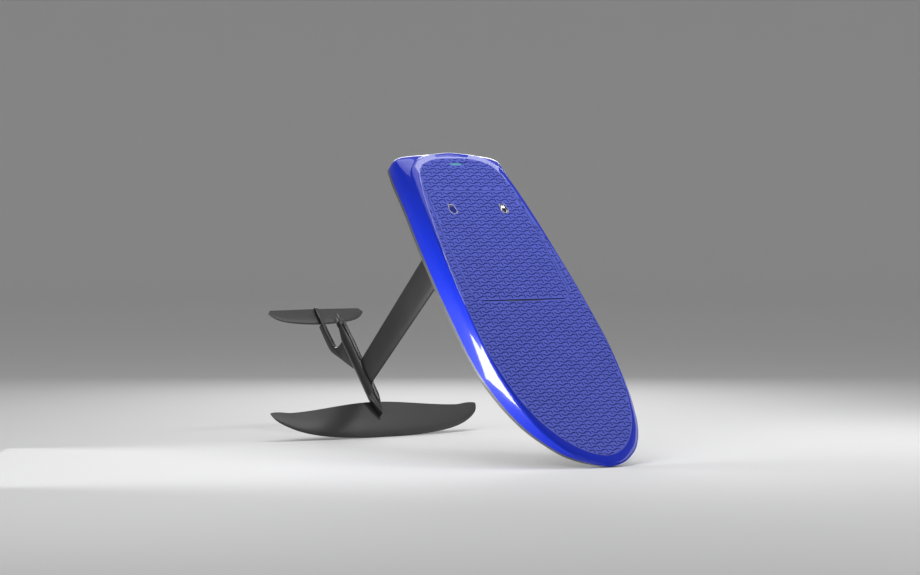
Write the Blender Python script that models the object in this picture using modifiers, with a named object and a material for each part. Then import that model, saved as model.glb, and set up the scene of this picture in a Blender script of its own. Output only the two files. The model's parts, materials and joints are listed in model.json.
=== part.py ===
"""Electric hydrofoil board, standing on its nose and on the front wing.

Everything is modelled in the board's own frame: x runs forward from the tail edge to the nose,
y runs to port, z is up from the top of the deck pad.  One empty leans that frame forward until
the nose and the leading edge of the front wing rest on the same floor.  Sizes are in metres.
"""
import bpy
import bmesh
import math
from mathutils import Matrix, Vector

# ---------------------------------------------------------------- driving dimensions
GAP = 0.0003                 # clearance between pieces that touch
SKIN = 0.004                 # wall of the two hull shells
PAD_DEEP = 0.005             # thickness of the foam deck pads
DECK = -PAD_DEEP - GAP       # height of the deck under the pads
BELLY = -0.120               # flat bottom of the hull
ROUND_UNDER = 0.012          # height of the rounding between the rail and the flat bottom
SAMPLES = 29                 # points along each half outline of the hull

HATCH_REAR, HATCH_FRONT = 0.198, 0.7405
HATCH_CORNERS = [(HATCH_REAR, 0.199, 0.052), (0.40, 0.2195, 0.30), (HATCH_FRONT, 0.2265, 0.052)]
HATCH_SLIT = 0.002           # gap all round the hatch
LID_DEEP = 0.008
LID_TOP = -PAD_DEEP - GAP
LID_BOTTOM = LID_TOP - LID_DEEP
SEAL_DEEP = 0.0035
LEDGE = LID_BOTTOM - SEAL_DEEP - 2 * GAP      # face that the hatch seal sits on
TUB_FLOOR = -0.1035
TUB_WALL = 0.003
BAY_X = (0.222, 0.716)       # inside of the battery bay
BAY_HALF = 0.172

HINGE_X, HINGE_Z = 0.7415, -0.0032
HINGE_HALF = 0.080
HINGE_R = 0.0026
PIN_R = 0.0012

LATCH_X, LATCH_Y = 0.2953, 0.1186             # centre of each pull ring
RING_R, RING_WIRE = 0.0135, 0.0018
RING_Z = -0.0026
RING_PIVOT_X = LATCH_X - 0.0225
CUP_DEEP = 0.0115

MAST_X = (0.176, 0.334)      # trailing and leading edge at the hull
MAST_FOOT_X = (0.193, 0.313)
PLATE_DEEP = 0.010
MAST_TOP = BELLY - PLATE_DEEP - 2 * GAP
MAST_FOOT = -1.0300
MAST_THICK = 0.125           # of its chord
DUCT_R = 0.0045

POD_Z = -1.060
POD_R = 0.0245
POD_REAR, POD_FRONT = 0.070, 0.352
POD_TIP = 0.452
CONE_REAR = -0.005
SHAFT_R = 0.005
BORE_R = 0.0203
PROP_PIVOT_X = -0.016
PROP_PIVOT_R = 0.0108
BLADE_LONG = 0.047

WING_Z = -1.0830
WING_HALF = 0.488
WING_FOIL = 0.095
TAIL_WING_Z = -1.1765
TAIL_WING_HALF = 0.228
TAIL_WING_FOIL = 0.10

# ---------------------------------------------------------------- scene and materials
for old in list(bpy.data.objects):
    bpy.data.objects.remove(old, do_unlink=True)

PARTS = bpy.data.collections.new("hydrofoil_board")
CUTTERS = bpy.data.collections.new("cutters")
bpy.context.scene.collection.children.link(PARTS)
bpy.context.scene.collection.children.link(CUTTERS)


def material(name, colour, roughness, metallic=0.0):
    made = bpy.data.materials.new(name)
    made.use_nodes = True
    shader = made.node_tree.nodes["Principled BSDF"]
    shader.inputs["Base Color"].default_value = (*colour, 1.0)
    shader.inputs["Roughness"].default_value = roughness
    shader.inputs["Metallic"].default_value = metallic
    return made


BLUE_GLOSS = material("blue_gloss_shell", (0.02, 0.045, 0.62), 0.12)
BLUE_FOAM = material("blue_eva_pad", (0.10, 0.13, 0.55), 0.85)
CARBON = material("satin_carbon", (0.025, 0.026, 0.028), 0.42)
CORE = material("white_core_foam", (0.85, 0.84, 0.80), 0.9)
CHROME = material("polished_steel", (0.75, 0.75, 0.78), 0.12, 1.0)
STEEL = material("brushed_steel", (0.55, 0.55, 0.56), 0.35, 1.0)
ALLOY = material("anodised_aluminium", (0.10, 0.10, 0.11), 0.4, 0.9)
RUBBER = material("black_rubber", (0.02, 0.02, 0.02), 0.8)
PLASTIC = material("black_plastic", (0.03, 0.03, 0.033), 0.5)
COPPER = material("copper_windings", (0.65, 0.27, 0.12), 0.4, 1.0)
TEAL = material("teal_light", (0.02, 0.55, 0.50), 0.3)


# ---------------------------------------------------------------- modelling helpers
def finish(name, data, surface, collection=PARTS):
    """Wrap mesh or curve data in a named object in the board's frame."""
    obj = bpy.data.objects.new(name, data)
    collection.objects.link(obj)
    if collection is CUTTERS:
        obj.hide_render = True
        obj.display_type = "WIRE"
    else:
        data.materials.append(surface)
        obj.parent = FRAME
    return obj


def mesh_of(bm, name):
    bmesh.ops.recalc_face_normals(bm, faces=bm.faces)
    data = bpy.data.meshes.new(name)
    bm.to_mesh(data)
    bm.free()
    return data


def smooth(obj, degrees=35):
    obj.data.shade_smooth()
    obj.data.set_sharp_from_angle(angle=math.radians(degrees))
    return obj


def box(name, low, high, surface=None, collection=PARTS, bevel=0.0):
    bm = bmesh.new()
    bmesh.ops.create_cube(bm, size=1.0)
    size = Vector(high) - Vector(low)
    middle = (Vector(high) + Vector(low)) / 2
    bmesh.ops.scale(bm, vec=size, verts=bm.verts)
    bmesh.ops.translate(bm, vec=middle, verts=bm.verts)
    obj = finish(name, mesh_of(bm, name), surface, collection)
    if bevel:
        rounding = obj.modifiers.new("rounding", "BEVEL")
        rounding.width = bevel
        rounding.segments = 2
    return obj


def rod(name, start, end, radius, surface=None, collection=PARTS, segments=20):
    """A cylinder between two points."""
    bm = bmesh.new()
    run = Vector(end) - Vector(start)
    turn = Vector((0, 0, 1)).rotation_difference(run).to_matrix().to_4x4()
    place = Matrix.Translation((Vector(start) + Vector(end)) / 2) @ turn
    bmesh.ops.create_cone(bm, cap_ends=True, segments=segments, radius1=radius,
                          radius2=radius, depth=run.length, matrix=place)
    return smooth(finish(name, mesh_of(bm, name), surface, collection))


def loft(name, rings, surface=None, collection=PARTS):
    """Skin between closed sections that all have the same number of points."""
    bm = bmesh.new()
    rows = [[bm.verts.new(point) for point in ring] for ring in rings]
    count = len(rows[0])
    for below, above in zip(rows, rows[1:]):
        for i in range(count):
            j = (i + 1) % count
            bm.faces.new((below[i], below[j], above[j], above[i]))
    bm.faces.new(rows[0])
    bm.faces.new(rows[-1])
    return smooth(finish(name, mesh_of(bm, name), surface, collection))


def turned(name, profile, surface=None, collection=PARTS, steps=24):
    """Turn an (x, radius) profile about the pod's axis; a profile off the axis makes a ring."""
    area = sum(a[0] * b[1] - b[0] * a[1] for a, b in zip(profile, profile[1:] + profile[:1]))
    if area < 0:
        profile = profile[::-1]
    ring = profile[0][1] > 0
    bm = bmesh.new()
    row = [bm.verts.new((radius, 0, x)) for x, radius in profile]
    for a, b in zip(row, row[1:] + (row[:1] if ring else [])):
        bm.edges.new((a, b))
    data = bpy.data.meshes.new(name)
    bm.to_mesh(data)
    bm.free()
    obj = finish(name, data, surface, collection)
    obj.location = (0, 0, POD_Z)
    obj.rotation_euler = (0, math.pi / 2, 0)
    screw = obj.modifiers.new("turning", "SCREW")
    screw.steps = screw.render_steps = steps
    screw.use_merge_vertices = True
    screw.merge_threshold = 0.00001
    screw.use_normal_calculate = False
    screw.use_smooth_shade = True
    return obj


def plate(name, outline, low, high, surface=None, collection=PARTS, upright=False):
    """A flat outline with thickness: (x, y) points between two heights, or (x, z) points
    between two widths when upright."""
    curve = bpy.data.curves.new(name, "CURVE")
    curve.dimensions = "2D"
    curve.fill_mode = "BOTH"
    curve.extrude = (high - low) / 2
    line = curve.splines.new("POLY")
    line.points.add(len(outline) - 1)
    for point, (a, b) in zip(line.points, outline):
        point.co = (a, b, 0, 1)
    line.use_cyclic_u = True
    holder = bpy.data.objects.new(name + "_outline", curve)
    bpy.context.scene.collection.objects.link(holder)
    bpy.context.view_layer.update()
    graph = bpy.context.evaluated_depsgraph_get()
    data = bpy.data.meshes.new_from_object(holder.evaluated_get(graph))
    bpy.data.objects.remove(holder, do_unlink=True)
    bm = bmesh.new()
    bm.from_mesh(data)
    bmesh.ops.remove_doubles(bm, verts=bm.verts, dist=0.00001)
    if upright:
        bmesh.ops.rotate(bm, matrix=Matrix.Rotation(math.pi / 2, 3, "X"), verts=bm.verts)
        bmesh.ops.translate(bm, vec=(0, (high + low) / 2, 0), verts=bm.verts)
    else:
        bmesh.ops.translate(bm, vec=(0, 0, (high + low) / 2), verts=bm.verts)
    bpy.data.meshes.remove(data)
    return smooth(finish(name, mesh_of(bm, name), surface, collection))


def combine(obj, other, operation="DIFFERENCE"):
    """Cut or join with another object that stays as a hidden guide."""
    step = obj.modifiers.new(operation.lower(), "BOOLEAN")
    step.operation = operation
    step.solver = "EXACT"
    step.object = other
    if other.parent is None:
        other.parent = FRAME
    return obj


def curve_through(points, count):
    """Evenly spaced points on a smooth half outline from the tail to the nose centre line."""
    knots = [Vector((x, y)) for x, y in points]
    first = Vector((knots[1].x, -knots[1].y))
    last = Vector((knots[-2].x, -knots[-2].y))
    padded = [first] + knots + [last]
    dense = []
    for a, b, c, d in zip(padded, padded[1:], padded[2:], padded[3:]):
        for k in range(16):
            t = k / 16
            dense.append(0.5 * (2 * b + (c - a) * t + (2 * a - 5 * b + 4 * c - d) * t * t
                                + (3 * b - a - 3 * c + d) * t ** 3))
    dense.append(knots[-1])
    run = [0.0]
    for a, b in zip(dense, dense[1:]):
        run.append(run[-1] + (b - a).length)
    out = []
    k = 0
    for i in range(count):
        want = run[-1] * i / (count - 1)
        while k < len(run) - 2 and run[k + 1] < want:
            k += 1
        part = (want - run[k]) / max(run[k + 1] - run[k], 1e-9)
        out.append(dense[k].lerp(dense[k + 1], min(max(part, 0), 1)))
    return out


def inset(half, distance):
    """Move a half outline inwards; its two ends stay on the centre line."""
    out = []
    for i, point in enumerate(half):
        before = half[i - 1] if i else Vector((half[1].x, -half[1].y))
        after = half[i + 1] if i + 1 < len(half) else Vector((half[-2].x, -half[-2].y))
        along = (after - before).normalized()
        out.append(point + Vector((along.y, -along.x)) * distance)
    return out


def ease(value, start, end):
    t = min(max((value - start) / (end - start), 0.0), 1.0)
    return t * t * (3 - 2 * t)


def full_ring(half, height):
    """Both sides of a half outline as one closed ring; height is a number or a rule of x."""
    rule = height if callable(height) else (lambda x: height)
    port = [(p.x, p.y, rule(p.x)) for p in half]
    starboard = [(p.x, -p.y, rule(p.x)) for p in half[-2:0:-1]]
    return port + starboard


def rung_cap(bm, ring):
    """Close a ring with quads that run from port to starboard, so it may be cambered."""
    count = len(ring)
    half = count // 2
    bm.faces.new((ring[0], ring[1], ring[count - 1]))
    for i in range(1, half - 1):
        bm.faces.new((ring[i], ring[i + 1], ring[count - i - 1], ring[count - i]))
    bm.faces.new((ring[half - 1], ring[half], ring[half + 1]))


def hull_piece(name, rings, surface, collection=PARTS):
    """A closed hull body: walls between the rings, and a rung cap at each end."""
    bm = bmesh.new()
    rows = [[bm.verts.new(point) for point in ring] for ring in rings]
    count = len(rows[0])
    for below, above in zip(rows, rows[1:]):
        for i in range(count):
            j = (i + 1) % count
            bm.faces.new((below[i], below[j], above[j], above[i]))
    rung_cap(bm, rows[0])
    rung_cap(bm, rows[-1])
    return smooth(finish(name, mesh_of(bm, name), surface, collection))


def rounded(corners, steps=6, grow=0.0):
    """A symmetric outline from (x, y, radius) corners listed tail to nose on the port side."""
    port = [(Vector((x, y)), r) for x, y, r in corners]
    points = [(Vector((p.x, -p.y)), r) for p, r in reversed(port)] + port
    points = points[::-1]
    out = []
    count = len(points)
    for i, (corner, radius) in enumerate(points):
        to_last = (points[i - 1][0] - corner).normalized()
        to_next = (points[(i + 1) % count][0] - corner).normalized()
        half_angle = to_last.angle(to_next) / 2
        reach = radius / math.tan(half_angle)
        centre = corner + (to_last + to_next).normalized() * radius / math.sin(half_angle)
        start = corner + to_last * reach - centre
        sweep = start.angle_signed(corner + to_next * reach - centre)
        for k in range(steps + 1):
            turn = Matrix.Rotation(-sweep * k / steps, 2)
            out.append(centre + turn @ start * (1 + grow / radius))
    return [tuple(p) for p in out]


def foil(chord, thick, points=9, tail=0.0005):
    """Symmetric aerofoil section, (distance behind the leading edge, half thickness) pairs,
    round the section from the trailing edge over the top and back."""
    upper = []
    for i in range(points + 1):
        t = (1 - math.cos(math.pi * i / points)) / 2
        half = 5 * thick * (0.2969 * math.sqrt(t) - 0.1260 * t - 0.3516 * t ** 2
                            + 0.2843 * t ** 3 - 0.1036 * t ** 4)
        upper.append((t * chord, half * chord + tail / 2 * t))
    return upper[::-1] + [(a, -b) for a, b in upper[1:]]


# ---------------------------------------------------------------- the leaning frame
# half outlines of the hull, tail centre to nose centre
PAD_LINE = [(0.031, 0), (0.034, 0.07), (0.052, 0.133), (0.09, 0.1765), (0.19, 0.2085), (0.333, 0.2315),
            (0.50, 0.2530), (0.67, 0.2685), (0.88, 0.2780), (0.949, 0.2785), (1.01, 0.2740), (1.08, 0.266),
            (1.147, 0.255), (1.209, 0.242), (1.253, 0.228), (1.309, 0.207), (1.35, 0.185), (1.39, 0.158),
            (1.42, 0.131), (1.448, 0.100), (1.470, 0.063), (1.482, 0.030), (1.486, 0)]
RIM_LINE = [(0.010, 0), (0.013, 0.08), (0.026, 0.135), (0.056, 0.178), (0.115, 0.207), (0.33, 0.2395),
            (0.50, 0.2575), (0.67, 0.2720), (0.88, 0.2810), (0.949, 0.2815), (1.01, 0.2775), (1.08, 0.270),
            (1.147, 0.259), (1.209, 0.246), (1.253, 0.232), (1.309, 0.211), (1.352, 0.189), (1.393, 0.162),
            (1.424, 0.135), (1.453, 0.103), (1.476, 0.065), (1.488, 0.031), (1.493, 0)]
CREASE_LINE = [(-0.009, 0), (-0.002, 0.057), (0.004, 0.095), (0.015, 0.1325), (0.033, 0.167), (0.061, 0.196),
               (0.100, 0.220), (0.22, 0.2395), (0.333, 0.2505), (0.457, 0.2615), (0.627, 0.2735),
               (0.805, 0.2815), (0.893, 0.2845), (0.994, 0.2840), (1.066, 0.280), (1.133, 0.2725),
               (1.181, 0.265), (1.224, 0.257), (1.278, 0.243), (1.327, 0.228), (1.374, 0.207),
               (1.416, 0.182), (1.453, 0.153), (1.485, 0.115), (1.514, 0.068), (1.528, 0.020), (1.530, 0)]
WAIST_LINE = [(-0.020, 0), (-0.020, 0.10), (-0.017, 0.185), (-0.010, 0.220), (0.003, 0.239), (0.03, 0.2465),
              (0.087, 0.2505), (0.203, 0.2560), (0.333, 0.2650), (0.457, 0.2735), (0.627, 0.2820),
              (0.805, 0.2870), (0.893, 0.2885), (0.994, 0.2885), (1.066, 0.2850), (1.133, 0.2770),
              (1.224, 0.2600), (1.327, 0.2290), (1.374, 0.2070), (1.416, 0.1790), (1.453, 0.1485),
              (1.485, 0.1085), (1.513, 0.060), (1.524, 0.016), (1.525, 0)]
EDGE_LINE = [(-0.024, 0), (-0.023, 0.10), (-0.019, 0.180), (-0.011, 0.218), (-0.001, 0.235), (0.03, 0.2415),
             (0.087, 0.2485), (0.203, 0.2545), (0.333, 0.2665), (0.457, 0.2755), (0.574, 0.2820),
             (0.675, 0.2850), (0.88, 0.2875), (0.973, 0.2875), (1.049, 0.2850), (1.179, 0.2690),
             (1.287, 0.2430), (1.371, 0.2050), (1.441, 0.1595), (1.485, 0.1005), (1.511, 0.030), (1.515, 0)]

MAST_MID = (MAST_X[0] + MAST_X[1]) / 2
MOUNT_TOP = TUB_FLOOR - TUB_WALL - 0.0008
LAMP_X = 0.061


def rise(x):
    """How far the deck curves up towards the nose."""
    return 0.10 * max(x - 1.0, 0.0) ** 2


def crease_height(x):
    return rise(x) - 0.015 + 0.005 * ease(x, 0.10, 0.35)


def edge_height(x):
    """Lower edge of the rail, which also curves up towards the nose."""
    return BELLY + ROUND_UNDER + 0.104 * min(max((x - 0.85) / 0.665, 0.0), 1.0) ** 1.75


def waist_height(x):
    return 0.55 * crease_height(x) + 0.45 * edge_height(x)


def seam_height(x):
    """Joint between the blue deck shell and the dark bottom shell, just above the lower edge."""
    return edge_height(x) + 0.015 - 0.0065 * ease(x, 1.0, 1.45)


def belly_height(x):
    return edge_height(x) - ROUND_UNDER


def lifted(offset):
    """A height that follows the deck's curve."""
    return lambda x: offset + rise(x)


NOSE_CONTACT = Vector((1.515, -0.004))
WING_CONTACT = Vector((0.548, WING_Z))
LEAN = math.atan2(NOSE_CONTACT.y - WING_CONTACT.y, NOSE_CONTACT.x - WING_CONTACT.x)

FRAME = bpy.data.objects.new("board_frame", None)
bpy.context.scene.collection.objects.link(FRAME)
FRAME.rotation_euler = (0, LEAN, 0)


# ---------------------------------------------------------------- hull
def hull_outlines():
    """Half outlines of the hull from the deck down to the lower edge."""
    rim, crease, waist, edge = (curve_through(line, SAMPLES)
                                for line in (RIM_LINE, CREASE_LINE, WAIST_LINE, EDGE_LINE))
    shoulder = [a.lerp(b, 0.60 + 0.26 * (1 - ease(a.x, 0.05, 0.30))) for a, b in zip(crease, waist)]
    seam = []
    for a, b in zip(waist, edge):
        high, low = waist_height(a.x), edge_height(b.x)
        seam.append(a.lerp(b, (high - seam_height(b.x)) / (high - low)))
    return rim, crease, shoulder, waist, seam, edge


def shoulder_height(x):
    return 0.60 * crease_height(x) + 0.40 * waist_height(x)


def build_hull():
    rim, crease, shoulder, waist, seam, edge = hull_outlines()
    step = inset(curve_through(PAD_LINE, SAMPLES), -0.0006)
    round_over = [a.lerp(b, 0.72) for a, b in zip(rim, crease)]
    inner = inset(seam, SKIN)

    deck_shell = hull_piece("deck_shell", [
        full_ring(inset(step, 0.002), lifted(DECK)),
        full_ring(step, lifted(DECK)),
        full_ring(step, lifted(-0.0004)),
        full_ring(rim, lifted(-0.0004)),
        full_ring(round_over, lambda x: 0.36 * crease_height(x) + 0.64 * rise(x)),
        full_ring(crease, crease_height),
        full_ring(shoulder, shoulder_height),
        full_ring(waist, waist_height),
        full_ring(seam, lambda x: seam_height(x) + GAP),
        full_ring(inner, lambda x: seam_height(x) + GAP),
        full_ring(inset(waist, SKIN + 0.0005), waist_height),
        full_ring(inset(shoulder, 0.006), lambda x: shoulder_height(x) - 0.0015),
        full_ring(inset(rim, 0.004), lifted(DECK - SKIN)),
    ], BLUE_GLOSS)
    bottom_shell = hull_piece("bottom_shell", [
        full_ring(inner, seam_height),
        full_ring(seam, seam_height),
        full_ring(edge, edge_height),
        full_ring(inset(edge, 0.005), lambda x: 0.5 * edge_height(x) + 0.5 * belly_height(x)),
        full_ring(inset(edge, 0.014), lambda x: 0.12 * edge_height(x) + 0.88 * belly_height(x)),
        full_ring(inset(edge, 0.028), belly_height),
    ], CARBON)
    dish = hull_piece("bottom_dish", [
        full_ring(inner, lambda x: seam_height(x) + 0.004),
        full_ring(inner, lambda x: seam_height(x) - 0.0005),
        full_ring(inset(edge, SKIN + 0.001), lambda x: edge_height(x) + 0.0005),
        full_ring(inset(edge, 0.016), lambda x: belly_height(x) + SKIN),
        full_ring(inset(edge, 0.034), lambda x: belly_height(x) + SKIN),
    ], None, CUTTERS)
    combine(bottom_shell, dish)
    return deck_shell, bottom_shell


def build_core():
    """Foam core that fills the two shells, with pockets for what is set into it."""
    rim, crease, shoulder, waist, seam, edge = hull_outlines()
    core = hull_piece("foam_core", [
        full_ring(inset(edge, 0.040), lambda x: belly_height(x) + SKIN + GAP),
        full_ring(inset(edge, 0.024), lambda x: belly_height(x) + SKIN + 0.001),
        full_ring(inset(edge, 0.012), lambda x: edge_height(x) + 0.004),
        full_ring(inset(waist, 0.011), waist_height),
        full_ring(inset(shoulder, 0.013), lambda x: shoulder_height(x) - 0.004),
        full_ring(inset(rim, 0.012), lifted(DECK - SKIN - GAP)),
    ], CORE)
    side = BAY_HALF + TUB_WALL + GAP
    pocket = box("bay_pocket", (BAY_X[0] - TUB_WALL - GAP, -side, TUB_FLOOR - TUB_WALL - GAP),
                 (BAY_X[1] + TUB_WALL + GAP, side, 0.01), collection=CUTTERS)
    rim_pocket = plate("bay_rim_pocket", rounded(HATCH_CORNERS, grow=0.0125), LEDGE - TUB_WALL - GAP, 0.0,
                       collection=CUTTERS)
    mount_pocket = box("mount_pocket", (MAST_MID - 0.1303, -0.0603, BELLY - 0.01),
                       (MAST_MID + 0.1303, 0.0603, MOUNT_TOP + GAP), collection=CUTTERS)
    lamp_pocket = box("lamp_pocket", (LAMP_X - 0.0075, -0.0305, DECK - 0.0125),
                      (LAMP_X + 0.0075, 0.0305, 0.01), collection=CUTTERS)
    for cutter in (pocket, rim_pocket, mount_pocket, lamp_pocket):
        combine(core, cutter)


def build_openings(deck_shell):
    """Hatch opening and lamp slot in the deck, and the deck pad round them."""
    opening = plate("hatch_opening", rounded(HATCH_CORNERS, grow=HATCH_SLIT), -0.03, 0.01, collection=CUTTERS)
    slot = box("lamp_slot", (LAMP_X - 0.0063, -0.0253, -0.03), (LAMP_X + 0.0063, 0.0253, 0.01),
               collection=CUTTERS)
    pad_half = curve_through(PAD_LINE, SAMPLES)
    pad = hull_piece("deck_pad", [full_ring(pad_half, lifted(-PAD_DEEP)), full_ring(pad_half, lifted(0.0))],
                     BLUE_FOAM)
    for piece in (deck_shell, pad):
        for cutter in (opening, slot):
            combine(piece, cutter)
    box("status_light", (LAMP_X - 0.006, -0.025, DECK - 0.004), (LAMP_X + 0.006, 0.025, -0.0008), TEAL,
        bevel=0.0008)
    box("light_driver", (LAMP_X - 0.007, -0.030, DECK - 0.012), (LAMP_X + 0.007, 0.030, DECK - 0.0044),
        PLASTIC, bevel=0.0008)


def build_bay():
    """Battery bay: a stepped tub hung under the deck, its seal, and the battery inside."""
    outer = plate("battery_bay", rounded(HATCH_CORNERS, grow=0.0120), LEDGE - TUB_WALL, DECK - SKIN - GAP,
                  PLASTIC)
    lower = box("bay_lower", (BAY_X[0] - TUB_WALL, -BAY_HALF - TUB_WALL, TUB_FLOOR - TUB_WALL),
                (BAY_X[1] + TUB_WALL, BAY_HALF + TUB_WALL, LEDGE - 0.001), collection=CUTTERS)
    combine(outer, lower, "UNION")
    mouth = plate("bay_mouth", rounded(HATCH_CORNERS, grow=HATCH_SLIT), LEDGE, 0.01, collection=CUTTERS)
    hollow = box("bay_hollow", (BAY_X[0], -BAY_HALF, TUB_FLOOR), (BAY_X[1], BAY_HALF, 0.01),
                 collection=CUTTERS)
    for cutter in (mouth, hollow):
        combine(outer, cutter)
    seal = plate("hatch_seal", rounded(HATCH_CORNERS, grow=-0.0020), LEDGE + GAP, LEDGE + GAP + SEAL_DEEP,
                 RUBBER)
    window = box("seal_window", (BAY_X[0] - 0.006, -BAY_HALF - 0.006, -0.05),
                 (BAY_X[1] + 0.006, BAY_HALF + 0.006, 0.01), collection=CUTTERS)
    combine(seal, window)
    floor = TUB_FLOOR + GAP
    box("battery_pack", (BAY_X[0] + 0.012, -0.150, floor), (0.596, 0.150, -0.030), PLASTIC, bevel=0.008)
    plate("battery_handle", [(0.300, -0.0295), (0.312, -0.0215), (0.478, -0.0215), (0.490, -0.0295),
                             (0.478, -0.0297), (0.470, -0.0245), (0.320, -0.0245), (0.312, -0.0297)],
          -0.014, 0.014, RUBBER, upright=True)
    box("power_connector", (0.5965, -0.028, -0.078), (0.6225, 0.028, -0.044), ALLOY, bevel=0.003)
    box("motor_controller", (0.6230, -0.110, floor), (BAY_X[1] - 0.004, 0.110, -0.034), ALLOY, bevel=0.004)


def build_hatch():
    """Hatch lid with its pad, its barrel hinge at the front and two pull-ring latches."""
    lid = plate("hatch_lid", rounded(HATCH_CORNERS), LID_BOTTOM, LID_TOP, CARBON)
    pad = plate("hatch_pad", rounded(HATCH_CORNERS), -PAD_DEEP, 0.0, BLUE_FOAM)
    bay = box("hinge_bay", (HINGE_X - 0.0150, -HINGE_HALF - 0.001, HINGE_Z - 0.0043),
              (HINGE_X + 0.02, HINGE_HALF + 0.001, 0.01), collection=CUTTERS)
    combine(lid, bay)
    front_gap = box("hatch_pad_gap", (HINGE_X - 0.0046, -0.3, -0.02), (HINGE_X + 0.02, 0.3, 0.01),
                    collection=CUTTERS)
    combine(pad, front_gap)
    for side, name in ((1, "port"), (-1, "starboard")):
        y = side * LATCH_Y
        hole = plate("latch_hole_" + name, cup_outline(y, 0.0006), -0.03, 0.01, collection=CUTTERS)
        combine(lid, hole)
        combine(pad, hole)
        build_latch(name, y)
    build_hinge()


def cup_outline(y, grow):
    """Plan outline of a latch cup: a round end that holds the ring, and a narrower square end."""
    ring = RING_R + 0.0042 + grow
    neck = 0.0125 + grow
    out = []
    for k in range(17):
        angle = math.radians(-125 + 250 * k / 16)
        out.append((LATCH_X + ring * math.cos(angle), y + ring * math.sin(angle)))
    out += [(RING_PIVOT_X - 0.0070 - grow, y + neck), (RING_PIVOT_X - 0.0070 - grow, y - neck)]
    return out


def build_latch(name, y):
    cup = plate("latch_cup_" + name, cup_outline(y, 0.0), -CUP_DEEP, -0.0004, STEEL)
    hollow = plate("cup_hollow_" + name, cup_outline(y, -0.0016), RING_Z - 0.0042, 0.01, collection=CUTTERS)
    slot = box("bolt_slot_" + name, (LATCH_X - 0.06, y - 0.0043, -CUP_DEEP + 0.0009),
               (LATCH_X - 0.004, y + 0.0043, -CUP_DEEP + 0.0035), collection=CUTTERS)
    combine(cup, hollow)
    combine(cup, slot)
    tunnel = box("bolt_tunnel_" + name, (HATCH_REAR - 0.01, y - 0.0046, -CUP_DEEP + 0.0008),
                 (RING_PIVOT_X, y + 0.0046, -CUP_DEEP + 0.0036), collection=CUTTERS)
    combine(PARTS.objects["hatch_lid"], tunnel)
    for side in (1, -1):
        post = box("ring_post_%s_%s" % (name, "ab"[side > 0]),
                   (RING_PIVOT_X - 0.0028, y + side * 0.0086 - 0.0012, RING_Z - 0.0046),
                   (RING_PIVOT_X + 0.0028, y + side * 0.0086 + 0.0012, RING_Z + 0.0018), collection=CUTTERS)
        combine(cup, post, "UNION")

    def across(label, half, radius, surface=None, collection=CUTTERS):
        return rod(label + name, (RING_PIVOT_X, y - half, RING_Z), (RING_PIVOT_X, y + half, RING_Z), radius,
                   surface, collection, segments=12)

    bore = across("ring_bore_", 0.0125, PIN_R + GAP)
    combine(cup, bore)
    across("latch_pin_", 0.0098, PIN_R, STEEL, PARTS)
    bm = bmesh.new()
    around, section = 24, 8
    rows = []
    for i in range(around):
        angle = 2 * math.pi * i / around
        row = []
        for k in range(section):
            turn = 2 * math.pi * k / section
            reach = RING_R - RING_WIRE + RING_WIRE * math.cos(turn)
            row.append(bm.verts.new((LATCH_X + reach * math.cos(angle), y + reach * math.sin(angle),
                                     RING_Z + 0.8 * RING_WIRE * math.sin(turn))))
        rows.append(row)
    for i in range(around):
        for k in range(section):
            a, b = rows[i], rows[(i + 1) % around]
            bm.faces.new((a[k], a[(k + 1) % section], b[(k + 1) % section], b[k]))
    ring = smooth(finish("latch_ring_" + name, mesh_of(bm, "latch_ring_" + name), CHROME), 60)
    combine(ring, across("ring_boss_", 0.0068, 0.0024), "UNION")
    for side in (1, -1):
        ear = plate("ring_ear_%s_%s" % (name, "ab"[side > 0]),
                    [(RING_PIVOT_X + 0.0004, y + side * 0.0062), (RING_PIVOT_X + 0.0004, y + side * 0.0034),
                     (LATCH_X - 0.0118, y + side * 0.0018), (LATCH_X - 0.0108, y + side * 0.0052)][::side],
                    RING_Z - 0.0011, RING_Z + 0.00108, collection=CUTTERS)
        combine(ring, ear, "UNION")
    combine(ring, across("ring_eye_", 0.0126, PIN_R + GAP))
    box("latch_bolt_" + name, (HATCH_REAR + 0.001, y - 0.0040, -CUP_DEEP + 0.0012),
        (LATCH_X - 0.0135, y + 0.0040, -CUP_DEEP + 0.0032), STEEL, bevel=0.0004)


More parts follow.
